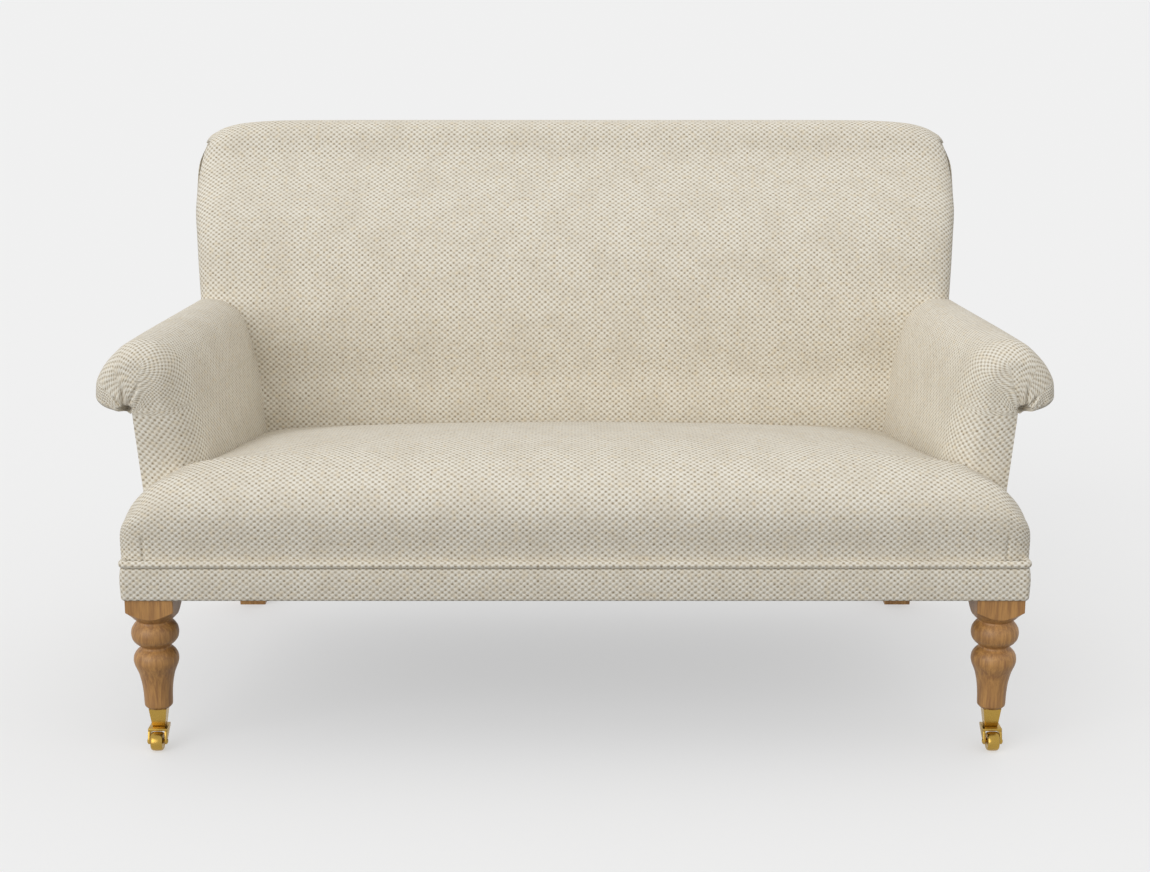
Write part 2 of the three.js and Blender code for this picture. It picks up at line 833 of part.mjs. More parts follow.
// The space beside the seat that the arm and its front take up.
function armNotch(side) {
  const low = padLip - cutOverrun;
  const rings = [armSetback - fit, seatDepth + cutOverrun].map((y) => {
    const pointCount = armCurveShares.findIndex((share) => share.y > armFaceShare);
    const face = armSection(y, () => -fit, low).slice(0, pointCount);
    const high = face[face.length - 1];
    const far = seatHalfWidth + cutOverrun;
    const top = padLip + seatCrownHeight + cutOverrun;
    return [...face, [high[0], y, top], [far, y, top], [far, y, low]];
  });
  return loft(rings.map((ring) => ring.map(([x, y, z]) => [side * x, y, z])));
}

// The border and the welt run along the front and return round both corners.
function frontPath(inset, cornerRadius) {
  const half = seatHalfWidth - inset;
  const radius = cornerRadius - inset;
  const end = panelStart - fit;
  const path = [[half, end]];
  for (let i = 0; i <= cornerStepCount; i++) {
    const angle = (Math.PI / 2) * (i / cornerStepCount);
    path.push([half - radius + radius * Math.cos(angle), inset + radius - radius * Math.sin(angle)]);
  }
  const mirrored = path.map(([x, y]) => [-x, y]).reverse();
  return [...path, ...mirrored];
}

function seatBorder() {
  const outer = frontPath(0, bandCornerRadius);
  const inner = frontPath(bandThickness, bandCornerRadius);
  return prism([...outer, ...inner.reverse()], underside, bandTop, "z");
}

function seatWelt() {
  const path = frontPath(weltRadius - weltProud, bandCornerRadius);
  const rings = path.map(([x, y], i) => {
    const before = path[Math.max(0, i - 1)];
    const after = path[Math.min(path.length - 1, i + 1)];
    const along = new THREE.Vector2(after[0] - before[0], after[1] - before[1]).normalize();
    const ring = [];
    for (let j = 0; j < weltFacetCount; j++) {
      const angle = (Math.PI * 2 * j) / weltFacetCount;
      const out = weltRadius * Math.cos(angle);
      ring.push([x + along.y * out, y - along.x * out, weltLevel + weltRadius * Math.sin(angle)]);
    }
    return ring;
  });
  return loft(rings);
}

// Front and rear points of the back's section, upwards, with the roll along its top.
function backSection() {
  const rollCentreZ = backHeight - backRollRadius;
  const faceTop = rollCentreZ + backRollRadius * backFaceTopShare;
  const rollCentreY = seatDepth + fit + backSweep + backRollRadius * Math.sqrt(1 - backFaceTopShare ** 2);
  const onRoll = (degrees) => {
    const angle = THREE.MathUtils.degToRad(degrees);
    const [back, up] = [backRollRadius * Math.cos(angle), backRollRadius * Math.sin(angle)];
    return { y: rollCentreY + back, z: rollCentreZ + up };
  };
  const underRoll = uprightTop - fit - fit;
  const rearOfRoll = backRollRearAngles.map(onRoll);
  const face = backProfileShares.map(([up, back], i) => {
    const z = mix(padFloor, faceTop, up);
    const above = i + rearOfRoll.length - backProfileShares.length;
    const level = above === -1 ? underRoll : z;
    const rear = above >= 0 ? rearOfRoll[above] : { y: uprightRear(level), z: level };
    return { front: { y: seatDepth + fit + backSweep * back, z }, rear, flat: above < 0 };
  });
  const crown = backRollAngles.map(([front, rear]) => {
    return { front: onRoll(front), rear: onRoll(rear), flat: false };
  });
  return { faceTop, levels: [...face, ...crown] };
}

// The whole back as one body, grown by a clearance where another piece makes room for it.
function backBody(grown, bottom) {
  const { faceTop, levels } = backSection();
  const dropStart = mix(padFloor, backHeight, backDropShares[0]);
  const dropRun = (backHeight - padFloor) * backDropShares[1];
  const stations = bothSides(backStationShares).map((share) => {
    const away = Math.abs(share);
    const edge = roundOff(backHalfWidth * (1 - away), backEdgeRadius) - grown;
    const cornerDrop = backCornerDrop * readShares(backCornerShares, away);
    const crown = backCrown * (1 - clamp01((backHalfWidth * away) / (armInner - armSplay)) ** 2);
    const place = (point, forward) => {
      const up = (point.z - padFloor) / (faceTop - padFloor);
      const widening = grown + backSideWrap * readShares(backWidthShares, up);
      const z = point.z - cornerDrop * clamp01((point.z - dropStart) / dropRun);
      return [(uprightOuter + widening) * share, point.y + forward, point.z === padFloor ? bottom : z];
    };
    return levels.map(({ front, rear, flat }) => {
      const up = (front.z - padFloor) / (faceTop - padFloor);
      const crownHere = crown * readShares(backCrownShares, up);
      const rounding = front.y < rear.y - backRollRadius ? edge : 0;
      const behind = place(rear, cutOverrun * Math.sign(grown));
      if (flat) behind[1] += uprightRear(behind[2]) - uprightRear(rear.z);
      return { front: place(front, rounding - crownHere), rear: behind };
    });
  });
  return pairedSkin(stations);
}

function backPad() {
  const low = railTop - cutOverrun;
  const high = uprightTop + fit;
  const frameOutline = [
    [uprightFront(low) - fit, low],
    [uprightFront(high) - fit, high],
    [uprightRear(high) + cutOverrun, high],
    [uprightRear(low) + cutOverrun, low],
  ];
  const frameSpace = prism(frameOutline, -uprightOuter - fit, uprightOuter + fit, "x");
  return cut(backBody(0, padFloor), frameSpace, ...[1, -1].flatMap(armRailSpaces));
}

// Room in the back pad for the arm rails on their way to the upright.
function armRailSpaces(side) {
  const space = (inner, width, z0, z1) => {
    const ring = (y) => {
      const a = inner - fit + armShift(y);
      const b = inner + width + fit + armShift(y);
      return [[a, z0 - fit], [b, z0 - fit], [b, z1 + fit], [a, z1 + fit]].map(([x, z]) => [side * x, y, z]);
    };
    return loft([ring(seatDepth - cutOverrun), ring(uprightRear(z1) + cutOverrun)]);
  };
  return [
    space(armRailInner, armRailWidth, armRailBottom, armRailTop),
    space(armTackInner, railThickness, armTackBottom, armTackBottom + armTackRailHeight),
  ];
}

// Level of a share of the arm's rise, which dips towards the back.
function armLevel(y, share) {
  const dip = (armRearDip * (y - armSetback)) / (armRear - armSetback);
  return armBase + (armHeight - dip) * share;
}

const armCurve = new THREE.SplineCurve(armOutlineShares.map(([out, up]) => new THREE.Vector2(out, up)));
const armCurveShares = armCurve.getPoints(armCurveStepCount);

// The arm's outline at a place along it, drawn in by an inset for each share of it, down to a lowest level.
function armSection(y, insetAt, lowest) {
  const across = (z) => armPanelOuter(y, z) - armPanelThickness - fit - armShift(y);
  const scrollFoot = armLevel(y, armScrollFootShare[1]);
  const onCurve = (share) => new THREE.Vector2(armInner + armWidth * share.x, armLevel(y, share.y));
  const points = armCurveShares.map(onCurve);
  points.push(new THREE.Vector2(across(scrollFoot), scrollFoot), new THREE.Vector2(across(armBase), armBase));
  return points.map((point, i) => {
    const before = points[(i + points.length - 1) % points.length];
    const after = points[(i + 1) % points.length];
    const normal = new THREE.Vector2(before.y - after.y, after.x - before.x).normalize();
    const inset = insetAt(Math.min(1, i / armCurveStepCount));
    const level = point.y === armBase ? lowest : point.y - normal.y * inset;
    return [point.x - normal.x * inset + armShift(y), y, level];
  });
}

// Arm pad: the padded inner face, the scroll and the rounded front, hollow behind for the arm frame.
function armPad() {
  const frontShares = [0, 0.04, 0.14, 0.35, 0.65, 1];
  const frontRings = frontShares.map((share) => {
    const distance = armEdgeRadius * share;
    const fallBack = roundOff(distance, armEdgeRadius);
    const insetAt = (place) => fallBack * readShares(armRoundingShares, place);
    return armSection(armSetback + distance, insetAt, armBase);
  });
  const runShares = [0.2, 0.4, 0.6, 0.8, 1];
  const whole = () => 0;
  const runStart = armSetback + armEdgeRadius;
  const runRings = runShares.map((share) => armSection(mix(runStart, armRear, share), whole, armBase));
  const endRing = armSection(uprightRear(armRailTop) - armFrontThickness, whole, armBase);
  const body = loft([...frontRings, ...runRings, endRing]);
  return cut(body, armHollow(), backBody(fit, armBase - cutOverrun));
}

// The space in the arm for the post, the rails and the outside panel.
function armHollow() {
  const wall = armInner + armPadThickness;
  const far = armInner + armWidth + cutOverrun;
  const ring = (y) => {
    const scrollFoot = armLevel(y, armScrollFootShare[1]) - fit;
    const panelSide = (z) => armPanelOuter(y, z) - armPanelThickness - armShift(y);
    const corners = [
      [wall, armBase - cutOverrun],
      [far, armBase - cutOverrun],
      [far, scrollFoot],
      [panelSide(railTop), scrollFoot],
      [panelSide(railTop), armRailBottom - fit],
      [armRailInner + armRailWidth + fit, armRailBottom - fit],
      [armRailInner + armRailWidth + fit, armRailTop + fit],
      [armRailInner - fit, armRailTop + fit],
      [armRailInner - fit, armRailBottom - fit],
      [wall + armPadThickness / 2, armRailBottom - fit],
      [wall, armRailBottom - armRailHeight],
    ];
    return corners.map(([x, z]) => [x + armShift(y), y, z]);
  };
  const rear = uprightRear(armRailTop);
  return loft([ring(panelStart), ring(uprightRear(underside)), ring(rear + cutOverrun)]);
}

function outsideArm() {
  const upShares = [0, 0.25, 0.5, 0.75, 1];
  const alongShares = [0, 0.2, 0.4, 0.6, 0.8, 1];
  const rings = alongShares.map((along) => {
    const y = mix(panelStart, uprightRear(underside), along);
    const top = armLevel(y, armScrollFootShare[1]) - fit - fit;
    const outer = upShares.map((up) => {
      const z = mix(underside, top, up);
      return [armPanelOuter(y, z), y, z];
    });
    const inner = outer.map(([x, place, z]) => [x - armPanelThickness, place, z]).reverse();
    return [...outer, ...inner];
  });
  return loft(rings);
}

function outsideBack() {
  const outline = [underside, uprightTop - backPanelDrop].flatMap((z, i) => {
    const front = [uprightRear(z) + fit, z];
    const rear = [uprightRear(z) + fit + backPanelThickness, z];
    return i ? [rear, front] : [front, rear];
  });
  return prism(outline, fit - uprightOuter, uprightOuter - fit, "x");
}

function dustCover() {
  const half = legInner - fit;
  const front = frontRailFront;
  const rear = uprightFront(underside) - fit;
  return block(-half, half, front, rear, underside, underside + dustCoverThickness);
}

function evenly(count, half) {
  const step = (half * 2) / (count - 1);
  return Array.from({ length: count }, (_, i) => i * step - half);
}

// Frame
add("front_seat_rail", frontRail(), materials.beech);
add("back_seat_rail", leaningRail(railBottom, railTop, railThickness), materials.beech);
addPair("side_seat_rail", sideRail(), materials.beech);
add("seat_cross_rail", seatCrossRail(), materials.beech);
const frontCornerX = legInner - fit;
const frontCornerY = frontRailRear + fit;
addPair("front_corner_block", cornerBlock(frontCornerX, frontCornerY, 1), materials.beech);
const rearCornerY = uprightFront(railBottom) + railInset - fit;
addPair("rear_corner_block", cornerBlock(uprightInner - fit, rearCornerY, -1), materials.beech);
addPair("rear_leg", rearLeg(), materials.oak);
add("back_top_rail", leaningRail(topRailBottom, uprightTop, backRailThickness), materials.beech);
add("back_lower_rail", leaningRail(lowerRailBottom, lowerRailTop, backRailThickness), materials.beech);
add("back_centre_stay", centreStay(), materials.beech);
addPair("arm_post", armPost(), materials.beech);
addPair("arm_top_rail", armTopRail(), materials.beech);
addPair("arm_tack_rail", armTackRail(), materials.beech);

// Front legs and castors
addPair("front_leg", frontLeg(), materials.oak);
addPair("castor_cup", castorCup(), materials.brass);
addPair("castor_screw", castorScrew(), materials.brass);
addPair("castor_fork", castorFork(), materials.brass);
addPair("castor_axle", castorAxle(), materials.brass);
addPair("castor_wheel", castorWheel(), materials.brass);

// Springs and webbing
const springSpread = sprungHalf - springHalfWidth - springHalfWidth;
evenly(springCount, springSpread).forEach((x, i) => {
  add("seat_spring_" + (i + 1), seatSpring(x), materials.steel);
});
add("spring_cover", springCover(), materials.webbing);
const strapSpread = backRailInner - strapWidth;
evenly(strapCount, strapSpread).forEach((x, i) => {
  add("back_strap_" + (i + 1), backStrap(x), materials.webbing);
});

// Upholstery
add("seat_pad", seatPad(), materials.fabric);
add("seat_border", seatBorder(), materials.fabric);
add("seat_welt", seatWelt(), materials.fabric);
add("back_pad", backPad(), materials.fabric);
addPair("arm_pad", armPad(), materials.fabric);
addPair("outside_arm", outsideArm(), materials.fabric);
add("outside_back", outsideBack(), materials.fabric);
add("dust_cover", dustCover(), materials.cover);

// The part's origin is on the floor, at the middle of the width and of the depth.
const bounds = new THREE.Box3().setFromObject(settee);
settee.position.y = -(bounds.min.y + bounds.max.y) / 2;

export default settee;
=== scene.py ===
"""Looks of the high back settee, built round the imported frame.

Shapes are given in millimetres from the front face of the seat's border, with x to the right, y backwards
and z up. They are turned into metres in the part's frame when a mesh is made.
"""

import json
import math

import bmesh
import bpy
import numpy as np
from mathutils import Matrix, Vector


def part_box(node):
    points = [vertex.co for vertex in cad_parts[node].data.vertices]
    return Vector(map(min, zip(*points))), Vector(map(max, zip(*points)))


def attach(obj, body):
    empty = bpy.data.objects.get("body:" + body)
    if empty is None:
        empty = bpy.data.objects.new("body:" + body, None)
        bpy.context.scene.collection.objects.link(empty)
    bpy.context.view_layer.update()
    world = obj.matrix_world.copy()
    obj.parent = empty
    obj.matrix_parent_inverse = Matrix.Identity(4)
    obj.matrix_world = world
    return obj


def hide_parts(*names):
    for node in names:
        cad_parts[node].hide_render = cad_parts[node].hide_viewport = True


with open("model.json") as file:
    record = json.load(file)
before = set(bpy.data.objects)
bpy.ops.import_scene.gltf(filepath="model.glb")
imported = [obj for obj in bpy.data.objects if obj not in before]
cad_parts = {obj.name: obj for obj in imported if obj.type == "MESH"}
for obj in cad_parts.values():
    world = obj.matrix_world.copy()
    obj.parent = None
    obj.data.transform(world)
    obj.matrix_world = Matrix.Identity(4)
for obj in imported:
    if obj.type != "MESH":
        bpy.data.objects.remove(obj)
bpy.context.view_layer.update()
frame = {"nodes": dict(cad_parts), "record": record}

MM = 0.001
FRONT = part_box("seat_border")[0].y

# The weave: width of one staggered pair of cells, and height of two rows of them, in metres
WEAVE_ACROSS = 0.01045
WEAVE_UP = 0.0092

# Camera: how far in front of the border it stands, its height, its downward tilt in degrees and its lens
CAMERA_AWAY = 2839.5
CAMERA_HEIGHT = 1187.4
CAMERA_TILT = 13.4
CAMERA_LENS = 61.04

# Studio: grey of the floor and the light it gives off, grey of the room below and above, and the lamp
FLOOR_GREY = 0.42
FLOOR_GLOW = 0.465
ROOM_LOW = 0.14
ROOM_HIGH = 0.85
LAMP_POWER = 1.2
LAMP_SPREAD = 50
LAMP_AIM = (0.6, 0.75, -0.32)


# Curves and grids

QUARTERS = (0.25, 0.5, 0.75, 1)


def curve(table):
    """A smooth function through [place, value] pairs that never overshoots them."""
    x, y = np.array(table, float).T
    step = np.diff(x)
    slope = np.diff(y) / step
    tangent = np.zeros(len(x))
    for i in range(1, len(x) - 1):
        if slope[i - 1] * slope[i] > 0:
            w1, w2 = 2 * step[i] + step[i - 1], step[i] + 2 * step[i - 1]
            tangent[i] = (w1 + w2) / (w1 / slope[i - 1] + w2 / slope[i])
    tangent[0], tangent[-1] = slope[0], slope[-1]

    def at(place):
        p = np.clip(np.asarray(place, float), x[0], x[-1])
        i = np.clip(np.searchsorted(x, p, side="right") - 1, 0, len(x) - 2)
        h = step[i]
        t = (p - x[i]) / h
        return (
            y[i] * (1 + 2 * t) * (1 - t) ** 2
            + tangent[i] * h * t * (1 - t) ** 2
            + y[i + 1] * t**2 * (3 - 2 * t)
            + tangent[i + 1] * h * t**2 * (t - 1)
        )

    return at


def lengths(points):
    """Distance along a line of points."""
    return np.r_[0, np.cumsum(np.linalg.norm(np.diff(points, axis=0), axis=1))]


def path(points, count, finer=8):
    """A polyline of that many points along a smooth line through the given ones, evenly spaced."""
    points = np.array(points, float)
    chord = lengths(points)
    fine = np.linspace(0, chord[-1], count * finer)
    dense = np.stack([curve(np.c_[chord, column])(fine) for column in points.T], axis=1)
    run = lengths(dense)
    even = np.linspace(0, run[-1], count)
    return np.stack([np.interp(even, run, column) for column in dense.T], axis=1)


def smooth(t):
    t = np.clip(t, 0, 1)
    return t * t * (3 - 2 * t)


def ramp(value, start, reach):
    """A smooth rise from 0 at the start to 1 after the reach, which is negative for a rise downwards."""
    return smooth((value - start) / reach)


def mix(a, b, share):
    return a + (b - a) * share


def run_lengths(points, axis):
    """Distance along each line of a grid of points."""
    steps = np.linalg.norm(np.diff(points, axis=axis), axis=2)
    pad = [(0, 0), (0, 0)]
    pad[axis] = (1, 0)
    return np.cumsum(np.pad(steps, pad), axis=axis)


def both_halves(half):
    """A grid whose columns run out to the right, with its mirror image on the left."""
    left = half[:, :0:-1].copy()
    left[..., 0] *= -1
    return np.concatenate([left, half], axis=1)


def flat_weave(points):
    """Weave directions of a symmetric grid: across from its middle column, and up along that column."""
    middle = points.shape[1] // 2
    across = run_lengths(points, 1)
    across -= across[:, middle : middle + 1]
    up = np.repeat(run_lengths(points, 0)[:, middle : middle + 1], points.shape[1], axis=1)
    return np.stack([across, up], axis=2)


# Seat

# The middle of the seat from front to back, as depth and height
SEAT_PROFILE = [
    (9, 303),
    (8.6, 318),
    (7.4, 335),
    (5.5, 352),
    (4.5, 368),
    (5, 382),
    (8, 395),
    (13, 407),
    (20, 418),
    (29, 428),
    (40, 437),
    (52, 445),
    (66, 452),
    (84, 458.5),
    (107, 463.5),
    (136, 467),
    (170, 469),
    (200, 469),
    (250, 466.5),
    (300, 460.5),
    (360, 448.5),
    (420, 435.5),
    (480, 422.5),
    (530, 411.2),
    (557, 404.5),
    (600, 391),
]
# Half sections of the seat, as x and share of the way to its side: front face, front edge, before the arms
SEAT_FACE = [
    (0, 0),
    (150, 0),
    (300, 0),
    (420, 0.004),
    (520, 0.012),
    (590, 0.02),
    (630, 0.05),
    (655, 0.12),
    (670, 0.21),
    (681, 0.33),
    (688.5, 0.48),
    (694, 0.64),
    (697.5, 0.81),
    (699, 1),
]
SEAT_EDGE = [
    (0, 0),
    (150, 0.002),
    (300, 0.01),
    (420, 0.025),
    (520, 0.055),
    (590, 0.1),
    (629, 0.169),
    (651, 0.255),
    (663, 0.35),
    (673, 0.473),
    (683, 0.608),
    (690.5, 0.742),
    (696.5, 0.878),
    (699, 1),
]
SEAT_EAR = [
    (0, 0),
    (150, 0.002),
    (300, 0.007),
    (420, 0.025),
    (500, 0.06),
    (560, 0.105),
    (598, 0.175),
    (626, 0.287),
    (648, 0.41),
    (665, 0.536),
    (678, 0.67),
    (688, 0.79),
    (695, 0.9),
    (698.5, 1),
]
# Between the arms: share of the way to the arm's inner face, and share of the drop there
SEAT_INNER = [
    (0, 0),
    (0.235, 0.005),
    (0.45, 0.03),
    (0.62, 0.09),
    (0.74, 0.2),
    (0.82, 0.34),
    (0.875, 0.48),
    (0.92, 0.63),
    (0.955, 0.79),
    (0.985, 0.95),
    (1.005, 1.06),
    (1.02, 1.16),
    (1.035, 1.26),
    (1.05, 1.35),
]
# The same beside the back
SEAT_REAR = [
    (0, 0),
    (0.235, 0.04),
    (0.45, 0.15),
    (0.62, 0.29),
    (0.74, 0.39),
    (0.82, 0.47),
    (0.875, 0.54),
    (0.92, 0.64),
    (0.955, 0.78),
    (0.985, 0.93),
    (1.005, 1.04),
    (1.02, 1.12),
    (1.035, 1.2),
    (1.05, 1.28),
]
# How far the seat drops towards the arms, by depth
SEAT_SIDE_DROP = [
    (95, 15),
    (130, 25),
    (180, 35),
    (220, 40),
    (300, 43),
    (350, 38.5),
    (450, 31),
    (520, 23),
    (557, 18.5),
    (600, 15),
]
# Where each row of the seat ends at the side: distance up and over the profile, then x, y and z
SEAT_ENDS = [
    (0, 699, 38, 303),
    (32, 699, 37, 326),
    (49, 699, 36.5, 336),
    (65, 698.7, 36.5, 342),
    (79, 698.4, 38, 346),
    (92.5, 698, 41, 349),
    (105.5, 697.8, 46, 351.5),
    (118.5, 697.5, 53, 353.5),
    (132, 697.3, 61, 355),
    (146, 697.1, 69, 356.5),
    (160.5, 697, 77, 358),
    (176, 696.6, 84.5, 359.5),
    (195, 696.3, 90.5, 361),
    (204, 696.2, 92, 362),
]
SEAT_ROWS = 170
SEAT_COLUMNS = 110
# Rows of the front face, before the profile turns steadily backwards
SEAT_FACE_ROWS = 20
# Start and reach of the change from face to edge and from edge to ear, up and over the profile
TO_EDGE = (65, 70)
TO_EAR = (146, 58)
# The same for the change between the arms to the section beside the back, by depth
TO_REAR = (300, 230)
# How late the sides of the edge's rows turn back
EDGE_POWER = 2.2
# Where the seat's ears end in front of the arms, and where its rows between the arms begin
EAR_END = 92
EAR_BACK = 102
BETWEEN_ARMS = 101
# Lower edge of the seat's hidden sides, and how far up and over the profile they begin
SEAT_FLOOR = 316
SIDE_FROM = 79
# Seam down each front corner: its place, width and depth, where its upper end fades, and its rearmost point
SEAM_X = 660
SEAM_WIDTH = 1.9
SEAM_DEPTH = 3.4
SEAM_FADE = (344, 8)
SEAM_REAR = 40


def seat_grid():
    """The seat. Rows run up its front face and back over it, and columns from its middle out and down."""
    profile = path(SEAT_PROFILE, SEAT_ROWS)
    crest = profile[:, 1].argmax()
    edge_y, edge_z = profile[SEAT_FACE_ROWS:crest].T
    added = [(y, np.interp(y, edge_y, edge_z)) for y in (EAR_END, EAR_BACK)]
    places = np.searchsorted(edge_y, [EAR_END, EAR_BACK]) + SEAT_FACE_ROWS
    profile = np.insert(profile, places, added, axis=0)
    ends = np.array(SEAT_ENDS, float)
    ends_at = [curve(ends[:, [0, k]]) for k in (1, 2, 3)]
    steps = np.linspace(0, 1, SEAT_COLUMNS)
    spread = np.linspace(0, 1, len(SEAT_FACE))

    def section(table):
        return [curve(np.c_[spread, column])(steps) for column in np.array(table, float).T]

    tables = SEAT_FACE, SEAT_EDGE, SEAT_EAR, SEAT_INNER, SEAT_REAR
    face, edge, ear, inner, rear = (section(table) for table in tables)
    side_drop = curve(SEAT_SIDE_DROP)
    rows = []
    for p, (y, z) in zip(lengths(profile), profile):
        if y > BETWEEN_ARMS:
            x = inner[0] * (ARM_OUTLINE[0][0] + arm_shift(y))
            d = mix(inner[1], rear[1], ramp(y, *TO_REAR))
            row = np.stack([x, np.full(len(x), y), z - d * side_drop(y)], axis=1)
            end = row[-1]
            foot = SEAT_FLOOR
        else:
            over, along = ramp(p, *TO_EDGE), ramp(p, *TO_EAR)
            x, d = (mix(mix(face[k], edge[k], over), ear[k], along) for k in (0, 1))
            end = np.array([at(p) for at in ends_at])
            x = x * end[0] / x[-1]
            row = np.stack([x, y + (end[1] - y) * mix(d, d**EDGE_POWER, over), z + (end[2] - z) * d], axis=1)
            foot = SEAT_FLOOR if p > SIDE_FROM else end[2]
        down = [np.array([end[0], end[1], mix(end[2], foot, share)]) for share in QUARTERS]
        rows.append(np.vstack([row, down]))
    half = np.array(rows)
    seam = np.exp(-(((half[..., 0] - SEAM_X) / SEAM_WIDTH) ** 2)) * (half[..., 1] < SEAM_REAR)
    half[..., 1] += SEAM_DEPTH * seam * (1 - ramp(half[..., 2], *SEAM_FADE))
    return both_halves(half)


# Border and welt

# Half width of the border, how far back its ends reach, and its corner's radius and the least one inside it
BORDER_HALF = 696
BORDER_END = 104
BORDER_CORNER = 10
LEAST_CORNER = 1.0
CORNER_STEPS = 26
FRONT_STEPS = 60
BORDER_ROWS = 34
# The welt's corner, the inset and height of its middle, and its radius
WELT_CORNER = 12
WELT_INSET = 4.5
WELT_HEIGHT = 308
WELT_RADIUS = 6
WELT_STEPS = 25
# The border's section, as inset and height
BORDER_SECTION = [
    (6, 251.5),
    (4, 250.8),
    (2.4, 251.2),
    (1.0, 252.6),
    (0.3, 255.5),
    (0.0, 262),
    (-0.4, 270),
    (-0.6, 279),
    (-0.2, 288),
    (0.6, 296),
    (1.6, 300.5),
    (3.6, 302),
    (6, 302),
]


def front_line(inset, corner):
    """The border's course in plan, from the right arm round the front to the left arm."""
    half = BORDER_HALF - inset
    r = max(corner - inset, LEAST_CORNER)
    right = [(half, BORDER_END), (half, (BORDER_END + r + inset) / 2)]
    for i in range(CORNER_STEPS + 1):
        a = math.pi / 2 * i / CORNER_STEPS
        right.append((half - r + r * math.cos(a), inset + r - r * math.sin(a)))
    front = [(x, inset) for x in np.linspace(half - r, -(half - r), FRONT_STEPS)[1:-1]]
    return np.array(right + front + [(-x, y) for x, y in right[::-1]])


def band_grid(section, corner):
    """Sweeps a section of [inset, z] points along the front's course."""
    lines = np.array([front_line(inset, corner) for inset, _ in section])
    heights = np.repeat(section[:, 1][:, None, None], lines.shape[1], axis=1)
    return np.concatenate([lines, heights], axis=2)[:, ::-1]


def border_grid():
    return band_grid(path(BORDER_SECTION, BORDER_ROWS), BORDER_CORNER)


def welt_grid():
    turn = np.linspace(0, 2 * math.pi, WELT_STEPS)
    section = [WELT_INSET - WELT_RADIUS * np.cos(turn), WELT_HEIGHT + WELT_RADIUS * np.sin(turn)]
    return band_grid(np.stack(section, axis=1), WELT_CORNER)


# Back

# The middle of the cushion from front to rear, as depth and height: its face, its roll and its rear
BACK_FACE = [
    (557, 340),
    (558, 370),
    (558, 400),
    (560, 440),
    (561, 479),
    (558, 520),
    (556, 554),
    (557, 590),
    (562, 624),
    (570, 660),
    (581, 692),
    (598, 725),
    (622, 758),
    (651, 789),
    (679, 814),
    (705, 840),
    (727, 865),
]
# Middle of the roll, its radius, and the directions in degrees of its points, from the face over the top
BACK_ROLL = (781, 880, 42)
ROLL_TURNS = np.arange(150, -50, -10)
BACK_REAR = [(800, 848), (793.5, 838), (787.5, 800), (773.7, 660), (755, 470), (742.8, 345)]
# Half width of the back by height
BACK_WIDTH = [
    (300, 645),
    (405, 649),
    (500, 654.5),
    (560, 661.5),
    (600, 667),
    (630, 670),
    (655, 671.5),
    (690, 673.5),
    (721, 675.5),
    (750, 678.3),
    (769, 681),
    (785, 683.5),
    (800, 685.5),
    (814, 686.8),
    (832, 687.5),
    (850, 687),
    (863, 685.5),
    (875, 682),
    (886, 677),
    (895, 670),
    (940, 655),
]
# Half sections of the back: [x, inward drop], on its face and over its top
BACK_SIDE = [
    (0, 0),
    (170, 0),
    (340, 0),
    (470, 0.2),
    (560, 0.8),
    (604, 1.8),
    (632, 3.6),
    (648, 6.2),
    (658, 9.3),
    (666, 13.5),
    (672, 18.5),
    (677, 26),
    (680, 38),
]
BACK_TOP = [
    (0, 0),
    (300, 0),
    (450, 0.1),
    (500, 0.4),
    (543, 1.1),
    (574, 2.6),
    (609, 5.9),
    (631, 10.4),
    (646, 15.2),
    (659, 21.8),
    (669, 28),
    (675.5, 35),
    (679, 41.5),
]
BACK_ROWS = 230
BACK_COLUMNS = 90
# Start and reach, by height, of the change to the section over the top, and of that to the rear behind it
TO_TOP = (885, 30)
TO_BACK_REAR = (905, -45)
# The rear drops less at its sides: the part left out, the share kept, and how far and where it is set back
REAR_DROP_FROM = 9
REAR_DROP_SHARE = 0.35
REAR_SET_BACK = 1.9
REAR_EDGE = (640, 8)
# How far the face's sides lean back from its middle, the half width for that, and where it comes and goes
BACK_CROWN = 15
CROWN_HALF = 560
CROWN_STARTS = (420, 90)
CROWN_ENDS = (640, 160)
# Where the front and the rear meet at the cushion's side, as height and depth, up to the roll's middle
BACK_MEET = [(340, 648), (660, 665), (850, 752), (880, 781)]
# Steps round the side, how far it bulges and where that ends, how far it is tucked in and where that starts
SIDE_SHARES = (0.2, 0.45, 0.75, 1.0)
SIDE_BULGE = 1.5
BULGE_ENDS = (860, 25)
SIDE_TUCK = 6
TUCK_STARTS = (830, 45)


